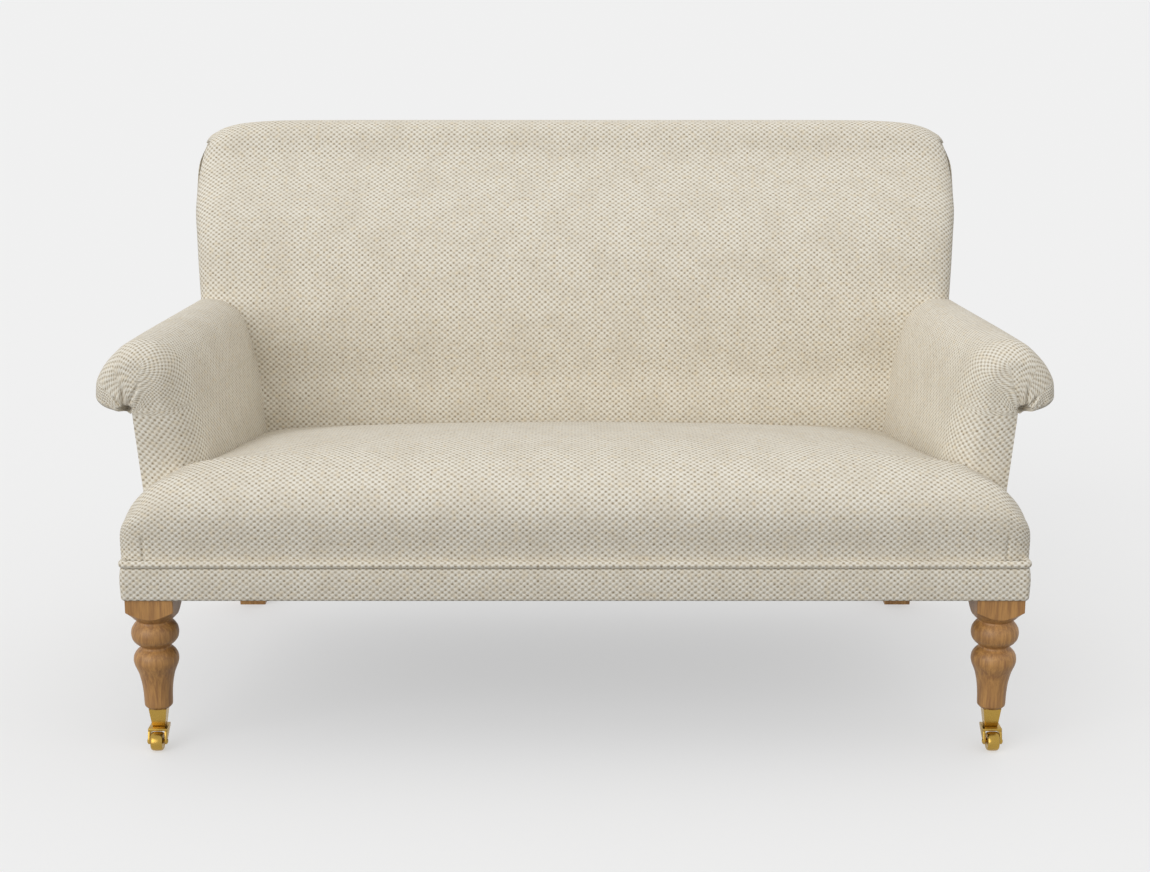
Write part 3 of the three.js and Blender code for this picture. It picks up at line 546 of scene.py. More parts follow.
def back_grid():
    """The back. Rows run up its face, over its roll and down its rear, and columns from its middle out."""
    cy, cz, r = BACK_ROLL
    turn = np.radians(ROLL_TURNS)
    roll = np.stack([cy + r * np.cos(turn), cz + r * np.sin(turn)], axis=1)
    loop = path(np.vstack([BACK_FACE, roll, BACK_REAR]), BACK_ROWS)
    tangent = np.gradient(loop, axis=0)
    tangent /= np.linalg.norm(tangent, axis=1)[:, None]
    width = curve(BACK_WIDTH)
    steps = np.linspace(0, 1, BACK_COLUMNS)
    spread = np.linspace(0, 1, len(BACK_SIDE))
    side, top = (
        [curve(np.c_[spread, column])(steps) for column in np.array(table, float).T]
        for table in (BACK_SIDE, BACK_TOP)
    )
    flatter = np.maximum(side[1] - REAR_DROP_FROM, 0) * REAR_DROP_SHARE
    rows = []
    crest = loop[:, 1].argmax()
    for i, ((y, z), (forward, upward)) in enumerate(zip(loop, tangent)):
        over = float(ramp(z, *TO_TOP))
        rear = (i > crest) * float(ramp(z, *TO_BACK_REAR))
        wide = float(width(z)) / BACK_SIDE[-1][0]
        x = mix(side[0] * wide, top[0], over)
        drop = mix(mix(side[1], flatter, rear), top[1], over)
        crown = BACK_CROWN * float(ramp(z, *CROWN_STARTS) * (1 - ramp(z, *CROWN_ENDS))) * (i < crest)
        lean = crown * np.clip(x / CROWN_HALF, 0, 1) ** 2 + REAR_SET_BACK * rear * ramp(x, *REAR_EDGE)
        meet = np.interp(z, *np.array(BACK_MEET, float).T)
        row = np.stack([x, y + drop * upward + lean, z - drop * forward], axis=1)
        end = row[-1]
        tuck = SIDE_TUCK * float(ramp(z, *TUCK_STARTS)) * (1 - over)
        close = []
        for share in SIDE_SHARES:
            bulge = SIDE_BULGE * math.sin(share * math.pi / 2) * float(1 - ramp(z, *BULGE_ENDS))
            out = end[0] + bulge - tuck * share
            close.append((out, mix(end[1], meet, share), mix(end[2], min(z, cz), share)))
        rows.append(np.vstack([row, close]))
    return both_halves(np.array(rows))


# Arms

# The arm's outline behind its rounded front, from the foot of the inner face over the scroll
ARM_OUTLINE = [
    (577.5, 336),
    (579, 380),
    (583.5, 442),
    (594, 510),
    (605, 565),
    (620, 604),
    (638, 621.5),
    (658, 630),
    (678, 632),
    (698, 627),
    (718, 611),
    (735, 590),
    (744.5, 567),
    (745.5, 548),
    (738, 537.5),
    (720, 531.5),
    (700, 529.5),
    (684.5, 528),
]
ARM_FOOT = ARM_OUTLINE[0][1]
ARM_TOP = max(z for _, z in ARM_OUTLINE)
ARM_ROWS = 210
ARM_STATIONS = 42
# By depth: the arm's front, where its shift and dip have their full size, and its rear end
ARM_FRONT = 91
ARM_REAR = 560
ARM_END = 742
# How the arm is shifted sideways at ARM_REAR, how far its top has sunk there, how far it stays up on the way,
# and how that is spread from the front
ARM_SPLAY = -27
ARM_DIP = 9
ARM_RISE = 6
RISE_FRONT = 1.3
RISE_FALL = 1.1
# Depth of the rear end's edge, room behind the rounding of the front, and where the rear end's columns lie,
# as shares of the way in from its edge
END_ROUND = 2
FRONT_GAP = 2
END_SHARES = (1, 0.8, 0.6, 0.4, 0.2, 0.02)
# Outer face of the panel outside an arm: foot, height and depth, and its x at foot and top, front and rear
PANEL_FOOT = 252
PANEL_HEIGHT = 276
PANEL_FRONT = 92
PANEL_DEPTH = 643
PANEL_FRONT_X = (659, 684)
PANEL_REAR_X = (648.6, 657.6)
# Highest point of the panel's front edge, and how far the arm's front and rear end lie inside the panel
PANEL_TOP = 520
FRONT_INSET = 1
END_INSET = 4
# Depth and width of the rounding of the arm's front edge, by share of the way round the outline
ARM_ROUND_DEPTH = [(0, 78), (0.4, 78), (0.58, 62), (0.75, 44), (0.9, 32), (1, 22)]
ARM_ROUND_WIDTH = [(0, 52), (0.4, 52), (0.58, 42), (0.75, 28), (0.9, 20), (1, 8)]
ROUND_STEPS = 19
# Largest share of the way to the gather that the rounding takes
ROUND_SHARE = 0.62
# Start and reach of the roll, by share of the way round the outline
TO_ROLL = (0.42, 0.26)
# Point under the roll, as x and z, where the arm's front is gathered, the steps to it, the height above which
# the outline is drawn to it, and the least distance that is divided by
GATHER = (684, 525)
GATHER_STEPS = 34
ABOVE_GATHER = 526
LEAST_REACH = 0.01
# How far the front swells between its edge and the gather, and by how much more at the roll
PUFF = 2.5
ROLL_PUFF = 3.5
# Folds under the scroll's front: both ends from where they gather, across and up, and depth
PLEATS = [(11, 12, 11.5, 46, 4.6), (16, 14, 28, 29.5, 4.2), (2, 16, -17.5, 53, 2.4)]
# Directions round the gather, in degrees, where the folds part the weave, and those where it hangs straight
PARTINGS = [104, 72, 44]
STRAIGHTS = [180, 88, 56, 10]
# Where the weave goes back to its course round the arm, by distance from the gather and by depth
DRAWN_AWAY = (35, 60)
DRAWN_BACK = (95, 44)
# Smallest share of their size to which the weave's cells shrink towards the gather
LEAST_STRETCH = 0.75
# How deep the folds reach back, where they start, shares of their length for their end, and their half width
FOLD_REACH = 30
FOLD_STARTS = (-6, 8)
FOLD_ENDS = (0.5, 0.6)
FOLD_HALF = 2.2
# The ridge on each side of a fold: share of its depth, distance from it and half width
RIDGE_SHARE = 0.3
RIDGE_OFF = 5
RIDGE_HALF = 3
# The hollow under the roll: its middle from the gather, its half sizes, its depth and how steep its edge is
HOLLOW = (8, 6)
HOLLOW_HALVES = (8, 5.4)
HOLLOW_DEPTH = 24
HOLLOW_POWER = 1.5


def arm_shift(y):
    """Sideways shift of the arm, which splays out towards the front."""
    return ARM_SPLAY * (y - ARM_FRONT) / (ARM_REAR - ARM_FRONT)


def arm_dip(y):
    """How far the arm's top has sunk, which it does towards the back."""
    along = (y - ARM_FRONT) / (ARM_REAR - ARM_FRONT)
    rounded = along * (1 - along) * (RISE_FRONT - RISE_FALL * along)
    return ARM_DIP * along - ARM_RISE * np.where(along < 1, rounded, 0)


def arm_panel(y, z):
    """Outer face of the outside arm panel."""
    up = (z - PANEL_FOOT) / PANEL_HEIGHT
    along = np.clip((y - PANEL_FRONT) / PANEL_DEPTH, 0, 1)
    return mix(mix(*PANEL_FRONT_X, up), mix(*PANEL_REAR_X, up), along)


def arm_grid():
    """The right arm and its weave. Rows run round its outline and columns from its rear to the gather."""
    outline = path(ARM_OUTLINE, ARM_ROWS)
    run = lengths(outline)
    share = run / run[-1]
    deep, wide = curve(ARM_ROUND_DEPTH)(share), curve(ARM_ROUND_WIDTH)(share)
    rise = (outline[:, 1] - ARM_FOOT) / (ARM_TOP - ARM_FOOT)
    nearest = ARM_FRONT + deep.max() + FRONT_GAP
    stations = [np.full(len(run), y) for y in np.linspace(ARM_END - END_ROUND, nearest, ARM_STATIONS)]
    stations += [mix(nearest, ARM_FRONT + deep, part) for part in QUARTERS]
    columns = [(outline[:, 0] + arm_shift(y), y, outline[:, 1] - arm_dip(y) * rise) for y in stations]
    columns = arm_rear(columns[0]) + columns
    start = np.stack([columns[-1][0], columns[-1][2]], axis=1)
    roll = ramp(share, *TO_ROLL)[:, None]
    panel_x = arm_panel(ARM_FRONT, np.minimum(outline[:, 1], PANEL_TOP)) - FRONT_INSET
    panel = np.stack([panel_x, np.minimum(outline[:, 1], GATHER[1])], axis=1)
    way = mix(panel, np.array(GATHER, float), roll) - start
    reach = np.maximum(np.linalg.norm(way, axis=1), LEAST_REACH)
    way /= reach[:, None]
    wide = np.minimum(wide, reach * ROUND_SHARE)
    for turn in np.linspace(0, math.pi / 2, ROUND_STEPS)[1:]:
        flat = start + way * (wide * (1 - math.cos(turn)))[:, None]
        columns.append((flat[:, 0], ARM_FRONT + deep * (1 - math.sin(turn)), flat[:, 1]))
    for part in np.linspace(0, 1, GATHER_STEPS)[1:]:
        flat = start + way * mix(wide, reach, part)[:, None]
        puff = (PUFF + ROLL_PUFF * roll[:, 0]) * math.sin(math.pi * part)
        columns.append((flat[:, 0], ARM_FRONT - puff, flat[:, 1]))
    points = np.array([np.stack(column, axis=1) for column in columns]).transpose(1, 0, 2)
    weave = arm_weave(points, outline, run)
    fold(points)
    return points, weave


def arm_rear(edge):
    """Columns of points that close the arm's rear end, from its middle out to its edge."""
    x, y, z = edge
    low = np.minimum(z, GATHER[1])
    inner = arm_panel(ARM_END, low) - END_INSET
    return [(mix(x, inner, part), y + END_ROUND, mix(z, low, part)) for part in END_SHARES]


def arm_weave(points, outline, run):
    """Weave directions of an arm: round its outline and along it, parted by the folds at its front."""
    apart = np.linalg.norm(np.gradient(points, axis=0), axis=2) / np.gradient(run)[:, None]
    step = np.linalg.norm(np.diff(points, axis=1), axis=2)
    across = np.pad(np.cumsum(step / np.clip(apart[:, 1:], LEAST_STRETCH, 1), axis=1), [(0, 0), (1, 0)])
    distance, angle = round_gather(points[..., [0, 2]])
    upper = outline[:, 1] > ABOVE_GATHER
    _, edge = round_gather(outline + [arm_shift(ARM_FRONT), 0])
    falling = np.minimum.accumulate(edge[upper])
    sector = sum((angle < parting).astype(int) for parting in PARTINGS)
    straight = np.array(STRAIGHTS, float)[sector]
    hanging = np.interp(-straight, -falling, run[upper]) + distance * np.radians(straight - angle)
    drawn = np.maximum(ramp(distance, *DRAWN_AWAY), ramp(points[..., 1], *DRAWN_BACK))
    drawn = np.where(upper[:, None], drawn, 1)
    return np.stack([across, mix(hanging, run[:, None], drawn)], axis=2)


def round_gather(points):
    """Distance from the gather and direction round it, in degrees."""
    across, up = np.moveaxis(points - np.array(GATHER), -1, 0)
    return np.hypot(across, up), np.degrees(np.arctan2(up, across)) % 360


def fold(points):
    """Presses the pleats and the hollow under the scroll into the arm's front."""
    away = points[..., [0, 2]] - np.array(GATHER)
    front = ramp(points[..., 1], ARM_FRONT + FOLD_REACH, -FOLD_REACH)
    start_share, reach_share = FOLD_ENDS
    for x0, z0, x1, z1, depth in PLEATS:
        way = np.array([x1 - x0, z1 - z0], float)
        reach = np.linalg.norm(way)
        way /= reach
        along = (away[..., 0] - x0) * way[0] + (away[..., 1] - z0) * way[1]
        off = (away[..., 0] - x0) * way[1] - (away[..., 1] - z0) * way[0]
        fade = front * ramp(along, *FOLD_STARTS) * (1 - ramp(along, reach * start_share, reach * reach_share))
        points[..., 1] += depth * fade * np.exp(-((off / FOLD_HALF) ** 2))
        beside = (np.abs(off) - RIDGE_OFF) / RIDGE_HALF
        points[..., 1] -= RIDGE_SHARE * depth * fade * np.exp(-(beside**2))
    hollow = (((away - np.array(HOLLOW)) / np.array(HOLLOW_HALVES)) ** 2).sum(axis=-1)
    points[..., 1] += HOLLOW_DEPTH * front * np.exp(-(hollow**HOLLOW_POWER))


# The cover outside an arm: front and rear edge, foot and top, and the share of the arm's dip that it follows
COVER_FRONT = 96
COVER_REAR = 734
COVER_FOOT = 251.5
COVER_TOP = 529.5
COVER_DIP_SHARE = 0.63
COVER_STATIONS = 44
COVER_LEVELS = 30
# Distances behind the front edge of its first columns, how far it is rounded there and over what distance
COVER_EDGE = (0, 1.5, 4)
COVER_BEHIND = 8
COVER_ROUND = 3.5
COVER_ROUND_REACH = 4
# How far the rear edge leans back for each millimetre up, and how the front edge is turned in
COVER_LEAN = 0.0983
COVER_TURNED = (14, 1.5, 0)
COVER_THICKNESS = 0.0025


def panel_grid():
    """The cover outside an arm, tight from the roll to the rail, with its rear edge along the upright."""
    stations = np.linspace(COVER_FRONT + COVER_BEHIND, COVER_REAR, COVER_STATIONS)
    stations = np.r_[COVER_FRONT + np.array(COVER_EDGE), stations]
    levels = np.linspace(0, 1, COVER_LEVELS)
    columns = []
    for y in stations:
        z = mix(COVER_TOP - arm_dip(y) * COVER_DIP_SHARE, COVER_FOOT, levels)
        rounding = COVER_ROUND * math.exp(-(((y - COVER_FRONT) / COVER_ROUND_REACH) ** 2))
        lean = COVER_LEAN * (z - PANEL_FOOT) * (y - COVER_FRONT) / (COVER_REAR - COVER_FRONT)
        columns.append(np.stack([arm_panel(y, z) - rounding, y + lean, z], axis=1))
    outer = np.array(columns)
    turned = outer[:1] - np.array(COVER_TURNED)
    return np.concatenate([turned, outer])


# Legs and castors

# Place of a leg's axis, and radius of the leg by height
LEG_X = 653.4
LEG_Y = 42.6
LEG_PROFILE = [
    (64.5, 17.6),
    (66.5, 19.6),
    (69, 21.6),
    (74, 22),
    (82, 22.2),
    (90, 22.6),
    (98, 23.3),
    (106, 24.3),
    (115, 26.1),
    (123, 28.1),
    (130, 30.8),
    (137, 33.6),
    (144, 34.9),
    (150, 34.3),
    (156, 31.6),
    (160.5, 27.6),
    (163.6, 24.2),
    (165.6, 23.3),
    (167.6, 24),
    (170.5, 28),
    (175, 32.6),
    (181, 35.8),
    (188, 36.8),
    (194, 36),
    (199, 33.7),
    (203, 30.8),
    (206.2, 28.2),
    (208.4, 27.2),
    (209.6, 28),
    (211.6, 30.2),
    (214, 32.8),
    (216.2, 34.9),
    (217.8, 36.3),
    (221, 39.8),
    (224.5, 44),
    (228, 48.6),
    (231, 53),
]
# Narrowest place under the square block, the block's half width, and its top inside the seat's frame
NECK = 208.4
BLOCK_HALF = 37.0
BLOCK_TOP = 300
# Points round a leg and a castor cup, and how square their corners are
LEG_AROUND = 256
LEG_SQUARENESS = 40
CUP_AROUND = 96
CUP_SQUARENESS = 24
# Radius of the ring that closes the leg's end, and counts of rings up to the neck and over the block's edge,
# with those up the block as shares of its height
END_RADIUS = 0.05
FLARE_STEPS = 200
TURNED_RINGS = 190
EDGE_RINGS = 26
BLOCK_SHARES = (0.003, 0.02, 0.2, 1)
# Half widths of the square castor cup by height, upwards
CUP_LEVELS = [
    (35.2, 4.5),
    (35.2, 9.7),
    (35.8, 10.3),
    (36.8, 10.5),
    (63.2, 13.9),
    (64.2, 14.0),
    (64.6, 13.6),
    (64.6, 6.0),
]
# The wheel's axis by depth and height
WHEEL_Y = 20.6
WHEEL_Z = 15
# The fork: its cheeks from the wheel's middle, its plate by height and depth, its radius round the axle, and
# how far its edges are worn, in metres
FORK_INNER = 10.8
FORK_OUTER = 14.8
FORK_TOP = 34.8
BRIDGE_FOOT = 30.8
BRIDGE_FRONT = 21.5
BRIDGE_REAR = 52.1
BOSS = 5
BOSS_STEPS = 13
FORK_BEVEL = 0.0006
# Halves of the wheel's and the axle head's sections, as distance out from the wheel's middle and radius
WHEEL_SECTION = [
    (9.6, 2.4),
    (9.6, 4.6),
    (9.1, 5.4),
    (8.7, 6.2),
    (8.7, 10.6),
    (9.2, 11.8),
    (9.2, 12.6),
    (8.2, 13.9),
    (6.2, 14.7),
    (3, 15),
    (0, 15),
]
HEAD_SECTION = [(15.0, 3.3), (15.5, 3.2), (15.9, 2.7), (16.15, 1.8), (16.25, 0.8), (16.28, 0.05)]
# The axle between its heads, as distance out and radius
SHANK = (14.9, 2)
AXLE_AROUND = 32


def leg_x(side):
    return LEG_X if side == "right" else -LEG_X


def round_square(angle, half, power):
    """Distance from the middle of a square with rounded corners to its edge."""
    c, s = np.abs(np.cos(angle)), np.abs(np.sin(angle))
    return half / (c**power + s**power) ** (1 / power)


def leg_grid(side):
    """Rings up the leg. The edge where the square block is turned away is one of them."""
    level = np.ones(LEG_AROUND)
    angle = 2 * math.pi * np.arange(LEG_AROUND) / LEG_AROUND
    foot = LEG_PROFILE[0][0]
    profile = curve(LEG_PROFILE)
    square = round_square(angle, BLOCK_HALF, LEG_SQUARENESS)
    flare = np.linspace(NECK, LEG_PROFILE[-1][0], FLARE_STEPS)
    meet = np.interp(square, profile(flare), flare)
    rings = [(END_RADIUS * level, foot * level)]
    rings += [(profile(z) * level, z * level) for z in np.linspace(foot, NECK, TURNED_RINGS)]
    for part in np.linspace(0, 1, EDGE_RINGS)[1:]:
        z = mix(NECK, meet, part)
        rings.append((np.minimum(profile(z), square), z))
    rings += [(square, mix(meet, BLOCK_TOP, part)) for part in BLOCK_SHARES]
    return ring_grid(side, angle, rings)


def cup_grid(side):
    angle = 2 * math.pi * np.arange(CUP_AROUND) / CUP_AROUND
    rings = [(round_square(angle, half, CUP_SQUARENESS), np.full(CUP_AROUND, z)) for z, half in CUP_LEVELS]
    return ring_grid(side, angle, rings)


def ring_grid(side, angle, rings):
    """Rings round a leg's axis, each a radius and a height at every angle."""
    x, cos, sin = leg_x(side), np.cos(angle), np.sin(angle)
    return np.array([np.stack([x + r * cos, LEG_Y + r * sin, z], axis=1) for r, z in rings])


def axle_grid(side, section, around=64):
    """A section of [x, radius] points turned round the wheel's axis."""
    angle = 2 * math.pi * np.arange(around) / around
    x = leg_x(side)
    rings = []
    for out, r in section:
        ring = [np.full(around, x + out), WHEEL_Y + r * np.cos(angle), WHEEL_Z + r * np.sin(angle)]
        rings.append(np.stack(ring, axis=1))
    return np.array(rings)


# Meshes


def skin(name, points, weave, material, closed=False, body="settee", sharp=None):
    """A smooth mesh over a grid of points in millimetres, with the weave's directions as its UV map."""
    rows, columns = points.shape[:2]
    place = points.reshape(-1, 3) * MM
    place[:, 1] += FRONT
    faces = []
    for i in range(rows - 1):
        for j in range(columns if closed else columns - 1):
            k = (j + 1) % columns
            faces.append((i * columns + j, i * columns + k, (i + 1) * columns + k, (i + 1) * columns + j))
    mesh = bpy.data.meshes.new(name)
    mesh.from_pydata(place.tolist(), [], faces)
    corner = np.zeros(len(mesh.loops), np.int32)
    mesh.loops.foreach_get("vertex_index", corner)
    layer = mesh.uv_layers.new(name="weave")
    layer.data.foreach_set("uv", (weave.reshape(-1, 2) * MM)[corner].ravel())
    return finished(name, mesh, material, body, sharp)


def finished(name, mesh, material, body, sharp=None):
    """Shades a mesh smooth, but for edges sharper than an angle, and fixes it to its body."""
    mesh.polygons.foreach_set("use_smooth", [True] * len(mesh.polygons))
    if sharp:
        shape = bmesh.new()
        shape.from_mesh(mesh)
        for edge in shape.edges:
            edge.smooth = edge.calc_face_angle(0) < math.radians(sharp)
        shape.to_mesh(mesh)
        shape.free()
    piece = bpy.data.objects.new(name, mesh)
    bpy.context.scene.collection.objects.link(piece)
    piece.data.materials.append(material)
    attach(piece, body)
    return piece


def prism(shape, outline, x0, x1):
    """Adds an outline of [y, z] points, drawn out along X, to a mesh in the making."""
    ends = []
    for x in (x0, x1):
        ends.append([shape.verts.new((x * MM, y * MM + FRONT, z * MM)) for y, z in outline])
    shape.faces.new(ends[0])
    shape.faces.new(ends[1][::-1])
    for i in range(len(outline)):
        j = (i + 1) % len(outline)
        shape.faces.new((ends[0][j], ends[0][i], ends[1][i], ends[1][j]))


def mirror(points, weave):
    """The same grid on the left, with its faces kept outwards."""
    other = points[::-1].copy()
    other[..., 0] *= -1
    return other, weave[::-1] * [-1, 1]


def covered(piece, node):
    """Hides the node of the frame that a piece replaces. The piece itself is not used."""
    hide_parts(node)


# Materials


def new_material(name):
    material = bpy.data.materials.new(name)
    material.use_nodes = True
    tree = material.node_tree
    return material, tree, tree.nodes["Principled BSDF"]


def node(tree, kind, inputs=(), **settings):
    made = tree.nodes.new(kind)
    for key, value in settings.items():
        setattr(made, key, value)
    for key, value in dict(inputs).items():
        if isinstance(value, bpy.types.NodeSocket):
            tree.links.new(value, made.inputs[key])
        else:
            made.inputs[key].default_value = value
    return made


def math_node(tree, operation, a, b=0.0):
    return node(tree, "ShaderNodeMath", {0: a, 1: b}, operation=operation).outputs[0]


def vector_node(tree, operation, inputs):
    return node(tree, "ShaderNodeVectorMath", inputs, operation=operation).outputs[0]


def blend_colours(tree, share, a, b):
    """A colour between two, by a share that is a number or a socket."""
    return node(tree, "ShaderNodeMix", {0: share, 6: a, 7: b}, data_type="RGBA").outputs[2]


def stepped(tree, value, low, high):
    """A smooth step of a value from 0 at low to 1 at high."""
    inputs = {"Value": value, "From Min": low, "From Max": high}
    return node(tree, "ShaderNodeMapRange", inputs, interpolation_type="SMOOTHSTEP").outputs["Result"]


def noise(tree, place, scale, detail=2.0, roughness=0.5, distortion=0.0):
    inputs = {"Vector": place, "Scale": scale, "Detail": detail}
    inputs.update({"Roughness": roughness, "Distortion": distortion})
    return node(tree, "ShaderNodeTexNoise", inputs)


# Tint of the warmer slubs in a weave, and how strong they, the clouds of middle tone and the fibres are
SANDY = (0.95, 0.84, 0.66)
WARM_SHARE = 0.5
CLOUD_SHARE = 0.3
FIBRE_SHARE = 0.5
# How far the cells wander off their pattern and how deep their relief is, in metres, and its strength
WANDER = 0.0024
RELIEF_DEPTH = 0.0015
RELIEF_STRENGTH = 0.34
# Wood: scale of the noise along the grain, how dark its pores are, and their depth in metres and strength
GRAIN_LENGTH = 0.06
STREAK_SHARE = 0.5
PORE_DEPTH = 0.0004
PORE_STRENGTH = 0.1
# How much rougher or smoother than its mean scuffed metal is
SCUFF_WEAR = 0.04


def woven(name, light, middle, dark, bump=1.0):
    """A chunky weave: staggered pale cells, yarn of a middle tone between them and uneven dark gaps, which
    are painted shade in the weave's hollows.
    """
    material, tree, shader = new_material(name)
    uv = node(tree, "ShaderNodeUVMap", uv_map="weave").outputs["UV"]
    wobble = noise(tree, uv, scale=150.0, detail=1.0).outputs["Color"]
    centred = vector_node(tree, "SUBTRACT", {0: wobble, 1: (0.5, 0.5, 0.5)})
    shift = vector_node(tree, "SCALE", {0: centred, "Scale": WANDER})
    moved = vector_node(tree, "ADD", {0: uv, 1: shift})
    parts = node(tree, "ShaderNodeSeparateXYZ", {0: moved})
    turns = [
        math_node(tree, "MULTIPLY", parts.outputs[axis], 2 * math.pi / size)
        for axis, size in (("X", WEAVE_ACROSS), ("Y", WEAVE_UP))
    ]
    across, up = (math_node(tree, "COSINE", turn) for turn in turns)
    cells = math_node(tree, "MULTIPLY", across, up)
    fibre = noise(tree, uv, scale=800.0).outputs["Fac"]
    yarn = noise(tree, uv, scale=120.0, roughness=0.7).outputs["Fac"]
    cloud = noise(tree, uv, scale=16.0, detail=3.0, roughness=0.6).outputs["Fac"]
    slub = noise(tree, uv, scale=95.0, detail=1.0).outputs["Fac"]

    height = math_node(tree, "ADD", cells, math_node(tree, "MULTIPLY", fibre, FIBRE_SHARE))
    clouds = math_node(tree, "MULTIPLY", stepped(tree, cloud, low=0.38, high=0.66), CLOUD_SHARE)
    warmth = math_node(tree, "MULTIPLY", stepped(tree, slub, low=0.52, high=0.72), WARM_SHARE)
    pale = blend_colours(tree, clouds, light, middle)
    pale = blend_colours(tree, warmth, pale, tuple(light[i] * SANDY[i] for i in range(3)) + (1,))
    ground = blend_colours(tree, stepped(tree, height, low=-0.35, high=0.8), middle, pale)
    # Painted shade: the lowest parts of the weave, the gaps between its cells, are darkened towards the dark
    # colour, more in some places than others
    painted_gap_shade = math_node(tree, "SUBTRACT", 1.0, stepped(tree, height, low=-0.8, high=0.1))
    uneven = {"Value": yarn, "From Min": 0.34, "From Max": 0.66}
    depth = node(tree, "ShaderNodeMapRange", uneven).outputs["Result"]
    colour = blend_colours(tree, math_node(tree, "MULTIPLY", painted_gap_shade, depth), ground, dark)
    tree.links.new(colour, shader.inputs["Base Color"])
    shader.inputs["Roughness"].default_value = 0.95
    shader.inputs["Specular IOR Level"].default_value = 0.12
    shader.inputs["Sheen Weight"].default_value = 0.1
    shader.inputs["Sheen Roughness"].default_value = 0.6
    bumps = {"Strength": RELIEF_STRENGTH * bump, "Distance": RELIEF_DEPTH, "Height": height}
    relief = node(tree, "ShaderNodeBump", bumps)
    tree.links.new(relief.outputs["Normal"], shader.inputs["Normal"])
    return material


def wooden(name, pale, dark, roughness):
    """Straight vertical grain with fine dark pores, in object space."""
    material, tree, shader = new_material(name)
    place = node(tree, "ShaderNodeTexCoord").outputs["Object"]
    drawn_out = {"Vector": place, "Scale": (1.0, 1.0, GRAIN_LENGTH)}
    long_way = node(tree, "ShaderNodeMapping", drawn_out).outputs[0]
    bands = noise(tree, long_way, scale=190.0, detail=3.0, roughness=0.6, distortion=0.35).outputs["Fac"]
    pores = noise(tree, long_way, scale=700.0, roughness=0.6).outputs["Fac"]
    tone = blend_colours(tree, stepped(tree, bands, low=0.3, high=0.75), pale, dark)
    streaks = math_node(tree, "MULTIPLY", stepped(tree, pores, low=0.5, high=0.7), STREAK_SHARE)
    tree.links.new(blend_colours(tree, streaks, tone, dark), shader.inputs["Base Color"])
    shader.inputs["Roughness"].default_value = roughness
    bumps = {"Strength": PORE_STRENGTH, "Distance": PORE_DEPTH, "Height": pores}
    relief = node(tree, "ShaderNodeBump", bumps, invert=True)
    tree.links.new(relief.outputs["Normal"], shader.inputs["Normal"])
    return material


def metallic(name, colour, worn, roughness):
    """Metal with fine scuffs."""
    material, tree, shader = new_material(name)
    place = node(tree, "ShaderNodeTexCoord").outputs["Object"]
    scuffs = noise(tree, place, scale=260.0, detail=4.0).outputs["Fac"]
    scuffed = math_node(tree, "MULTIPLY", scuffs, SCUFF_WEAR * 2)
    rough = math_node(tree, "ADD", scuffed, roughness - SCUFF_WEAR)
    tree.links.new(rough, shader.inputs["Roughness"])
    tree.links.new(blend_colours(tree, scuffs, colour, worn), shader.inputs["Base Color"])
    shader.inputs["Metallic"].default_value = 1.0
    return material


# Colours of each weave: pale cells, yarn of a middle tone, and the painted shade in its gaps
FABRIC = woven("cream_weave", (0.825, 0.79, 0.70, 1), (0.60, 0.535, 0.425, 1), (0.26, 0.20, 0.125, 1))
CLOTH_BLACK = woven("black_cloth", (0.02, 0.02, 0.02, 1), (0.03, 0.03, 0.03, 1), (0.01, 0.01, 0.01, 1), 0.3)
JUTE = woven("jute", (0.42, 0.33, 0.22, 1), (0.34, 0.25, 0.15, 1), (0.16, 0.12, 0.08, 1), 0.8)
OAK = wooden("oak", (0.50, 0.26, 0.082, 1), (0.27, 0.125, 0.042, 1), 0.45)
BEECH = wooden("beech", (0.60, 0.42, 0.25, 1), (0.46, 0.30, 0.17, 1), 0.65)
BRASS = metallic("brass", (0.53, 0.34, 0.08, 1), (0.44, 0.28, 0.06, 1), 0.27)
STEEL = metallic("spring_steel", (0.45, 0.46, 0.47, 1), (0.34, 0.35, 0.36, 1), 0.35)

SLOT_MATERIALS = {
    "cream_weave": FABRIC,
    "black_cloth": CLOTH_BLACK,
    "jute": JUTE,
    "oak": OAK,
    "beech": BEECH,
    "brass": BRASS,
    "spring_steel": STEEL,
}


def dress_frame():
    """Gives every node of the frame its slot's material, and flat UVs for a weave."""
    for part in frame["record"]["subparts"]:
        piece = frame["nodes"][part["node"]]
        piece.data.materials.clear()
        piece.data.materials.append(SLOT_MATERIALS[part["material_slot"]])
        layer = piece.data.uv_layers.new(name="weave")
        for polygon in piece.data.polygons:
            n = [abs(v) for v in polygon.normal]
            across = 1 if n[0] > max(n[1], n[2]) else 0
            up = 1 if n[2] > max(n[0], n[1]) else 2
            for loop in polygon.loop_indices:
                co = piece.data.vertices[piece.data.loops[loop].vertex_index].co
                layer.data[loop].uv = (co[across], co[up])


# Pieces


def soft_pieces():
    seat = seat_grid()
    covered(skin("seat_cushion", seat, flat_weave(seat), FABRIC), "seat_pad")
    band = border_grid()
    covered(skin("front_border", band, flat_weave(band), FABRIC), "seat_border")
    piping = welt_grid()
    covered(skin("piping", piping, flat_weave(piping), FABRIC), "seat_welt")
    back = back_grid()
    covered(skin("back_cushion", back, flat_weave(back), FABRIC), "back_pad")


def arms():
    arm = arm_grid()
    panel = panel_grid()
    panel = panel, np.stack([run_lengths(panel, 0), run_lengths(panel, 1)], axis=2)
    for side in ("right", "left"):
        pad, cover = (arm, panel) if side == "right" else (mirror(*arm), mirror(*panel))
        covered(skin("arm_" + side, *pad, FABRIC), "arm_pad_" + side)
        piece = skin("outside_arm_cover_" + side, *cover, FABRIC)
        covered(piece, "outside_arm_" + side)
        solid = piece.modifiers.new("thickness", "SOLIDIFY")
        solid.thickness = COVER_THICKNESS


